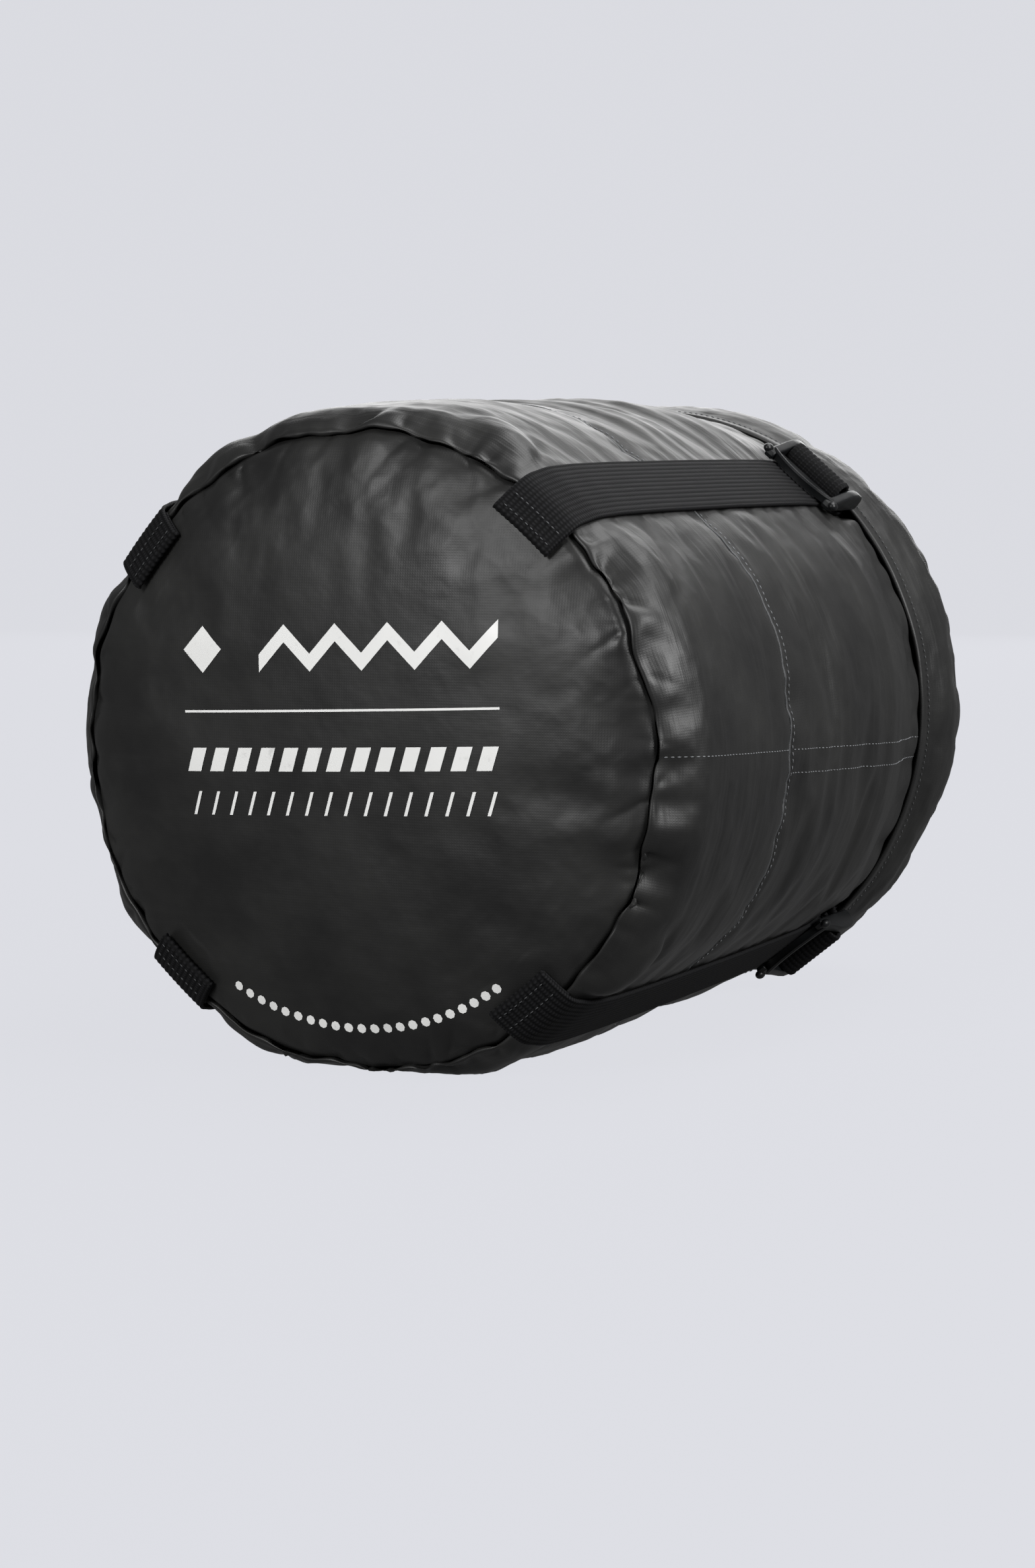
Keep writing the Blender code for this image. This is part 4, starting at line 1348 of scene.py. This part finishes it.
class SACK_OT_sewing(bpy.types.Operator):
    """Stitch lines along the lengthwise seam, the mid seam and the cap's hem"""

    bl_idname = "sack.sewing"
    bl_label = "Sewing"

    def execute(self, context):
        cloth = surface_of(bpy.data.objects["base_band_cloth"], bpy.data.objects["side_panel_cloth"])
        bm = bmesh.new()

        def row(count, first, last, offset=0.0):
            """Stitches along or round the cloth, between two (degrees, along) ends."""
            hits = []
            for i in range(count + 1):
                degrees, along = Vector(first).lerp(Vector(last), i / count)
                hits.append(on_flank(cloth, degrees + math.degrees(offset / 0.116), along))
            stitch_line(bm, [hit[0] for hit in hits], [hit[1] for hit in hits[:-1]])

        def on_seam(along):
            return SEAM_ANGLE + SEAM_DRIFT * along / HEM, along

        # One row along the lengthwise seam in front of the mid seam, and two behind it.
        row(50, on_seam(0.004), on_seam(MID_SEAM - 0.002))
        for offset in (0.0, -0.0080):
            row(80, on_seam(MID_SEAM + 0.003), on_seam(HEM - 0.001), offset)
        self.felled_edge(cloth)
        # A row beside the mid seam, from strap to strap.
        gaps = sorted(angle % 360.0 for angle in STRAP_ANGLES.values())
        for first, last in zip(gaps, gaps[1:] + [gaps[0] + 360.0]):
            row(120, (first + 7.0, MID_SEAM + 0.0026), (last - 7.0, MID_SEAM + 0.0026))
        finish_piece("body_seam_stitches", bm, "thread", "sack")
        hem = bmesh.new()
        radius = HEM_RADIUS - 0.00045
        points = [place(radius, HEM_END - 0.0018, i) for i in range(361)]
        points = [Vector((p.x, p.y, max(p.z, 0.0002))) for p in points]
        ups = [Vector((unit(i).x, 0.0, unit(i).y)) for i in range(360)]
        stitch_line(hem, points, ups)
        finish_piece("hem_stitches", hem, "worn_thread", "cap")
        return {"FINISHED"}

    def felled_edge(self, cloth):
        """The mid seam's folded edge: a thin raised line that wanders and thickens."""
        bm = bmesh.new()
        bm.loops.layers.uv.new("cloth")
        count, sides = 720, 6
        rings = []
        for i in range(count):
            degrees = 360.0 * i / count
            spot = unit(degrees)
            drift = 0.0011 * noise.noise(spot * 7.0) + 0.0003 * noise.noise(spot * 40.0)
            thick = 0.00042 + 0.00030 * max(0.0, noise.noise(spot * 22.0))
            thick += 0.00012 * noise.noise(spot * 90.0)
            centre, up = on_flank(cloth, degrees, MID_SEAM + drift)
            centre.z = max(centre.z, thick)
            wide = Vector((0.0, 1.5, 0.0))
            turns = [2.0 * math.pi * k / sides for k in range(sides)]
            rings.append([
                bm.verts.new(centre + (wide * math.cos(turn) + up * math.sin(turn)) * thick)
                for turn in turns])
        for a, b in zip(rings, rings[1:] + rings[:1]):
            for k in range(sides):
                after = (k + 1) % sides
                bm.faces.new((a[k], a[after], b[after], b[k]))
        lay_uv_flat(bm)
        bmesh.ops.recalc_face_normals(bm, faces=bm.faces)
        finish_piece("mid_seam_edge", bm, "seam_edge", "sack")


class SACK_OT_print(bpy.types.Operator):
    """Plain geometric marks printed on the base panel"""

    bl_idname = "sack.marks"
    bl_label = "Printed marks"

    def execute(self, context):
        cloth = surface_of(bpy.data.objects["base_panel_cloth"])
        bm = bmesh.new()
        radius = 0.108
        tilt = math.radians(2.6)

        def polygon(corners):
            bm.faces.new([bm.verts.new((x, 0.0, z)) for x, z in corners])

        def bar(x, z, wide, tall, slant=0.0):
            low, high = z - tall / 2, z + tall / 2
            near, far = x - wide / 2, x + wide / 2
            polygon([(near - slant, low), (far - slant, low), (far + slant, high), (near + slant, high)])

        left, right = -0.565 * radius, 0.550 * radius
        span = right - left
        # Top row: one diamond, then a zigzag ribbon.
        middle = 0.335 * radius
        size = 0.074 * radius
        centre = left + size
        polygon([
            (centre, middle - size), (centre + size, middle), (centre, middle + size), (left, middle)])
        start = left + 0.26 * span
        teeth = 9
        pitch = (right - start) / teeth
        thick = 0.0030
        low, high = middle - size + thick, middle + size - thick
        for i in range(teeth):
            x = start + i * pitch
            a, b = (low, high) if i % 2 == 0 else (high, low)
            polygon([(x, a - thick), (x + pitch, b - thick), (x + pitch, b + thick), (x, a + thick)])
        # A thin rule, then a row of bold and a row of light slanted bars.
        bar((left + right) / 2.0, 0.140 * radius, span, 0.0008)
        for count, height, wide in ((13, -0.012 * radius, 0.0055), (16, -0.150 * radius, 0.0012)):
            for i in range(count):
                bar(left + span * (i + 0.5) / count, height, wide, 0.0080, 0.0014)
        # An arc of dots near the rim.
        for i in range(22):
            dot = unit(-121.0 + 64.0 * i / 21.0) * 0.865 * radius
            corners = [dot + 0.0017 * unit(45.0 * k) for k in range(8)]
            polygon([(corner.x, corner.y) for corner in corners])
        # Cut the marks small enough to follow the cloth, then lay them on it.
        bmesh.ops.triangulate(bm, faces=bm.faces)
        for _ in range(6):
            long_edges = [e for e in bm.edges if e.calc_length() > 0.0022]
            if not long_edges:
                break
            bmesh.ops.subdivide_edges(bm, edges=long_edges, cuts=1)
            bmesh.ops.triangulate(bm, faces=bm.faces)
        for vertex in bm.verts:
            x, z = vertex.co.x, vertex.co.z
            x, z = x * math.cos(tilt) - z * math.sin(tilt), x * math.sin(tilt) + z * math.cos(tilt)
            before_base = Vector((x, SEAM_Y - 0.1, AXIS_Z + z))
            hit = cloth.ray_cast(before_base, Vector((0.0, 1.0, 0.0)))[0]
            vertex.co = (x, hit.y - INK_THICKNESS, AXIS_Z + z)
        bmesh.ops.recalc_face_normals(bm, faces=bm.faces)
        for face in bm.faces:
            if face.normal.y > 0.0:
                face.normal_flip()
        finish_piece("printed_marks", bm, "ink", "sack")
        return {"FINISHED"}


class SACK_OT_hardware(bpy.types.Operator):
    """Finishes for the drawcord, its knot and the cord lock"""

    bl_idname = "sack.hardware"
    bl_label = "Cord and lock finishes"

    def execute(self, context):
        for name, finish in (
                ("drawcord", "cord"), ("cord_knot", "cord"), ("cord_lock_barrel", "lock"),
                ("cord_lock_plunger", "lock"), ("cord_lock_spring", "steel")):
            for slot in frame["nodes"][name].material_slots:
                slot.material = finish_called(finish)
        return {"FINISHED"}


class SACK_PT_panel(bpy.types.Panel):
    """Buttons for each group of pieces"""

    bl_idname = "SACK_PT_panel"
    bl_label = "Compression sack"
    bl_space_type = "VIEW_3D"
    bl_region_type = "UI"
    bl_category = "Sack"

    def draw(self, context):
        for operator in STEPS:
            self.layout.operator(operator.bl_idname)


STEPS = (
    SACK_OT_stage, SACK_OT_base, SACK_OT_flank, SACK_OT_mouth, SACK_OT_cap, SACK_OT_straps,
    SACK_OT_ladderlocks, SACK_OT_sewing, SACK_OT_print, SACK_OT_hardware,
)
CLASSES = (SackSizes, SackColours, *STEPS, SACK_PT_panel)


def register():
    for cls in CLASSES:
        bpy.utils.register_class(cls)
    bpy.types.Scene.sack_sizes = PointerProperty(type=SackSizes)
    bpy.types.Scene.sack_colours = PointerProperty(type=SackColours)


def unregister():
    del bpy.types.Scene.sack_colours
    del bpy.types.Scene.sack_sizes
    for cls in reversed(CLASSES):
        bpy.utils.unregister_class(cls)


def main():
    register()
    bpy.ops.sack.stage()
    bpy.ops.sack.base()
    bpy.ops.sack.flank()
    bpy.ops.sack.mouth()
    bpy.ops.sack.cap()
    bpy.ops.sack.straps()
    bpy.ops.sack.ladderlocks()
    bpy.ops.sack.sewing()
    bpy.ops.sack.marks()
    bpy.ops.sack.hardware()


if __name__ == "__main__":
    main()
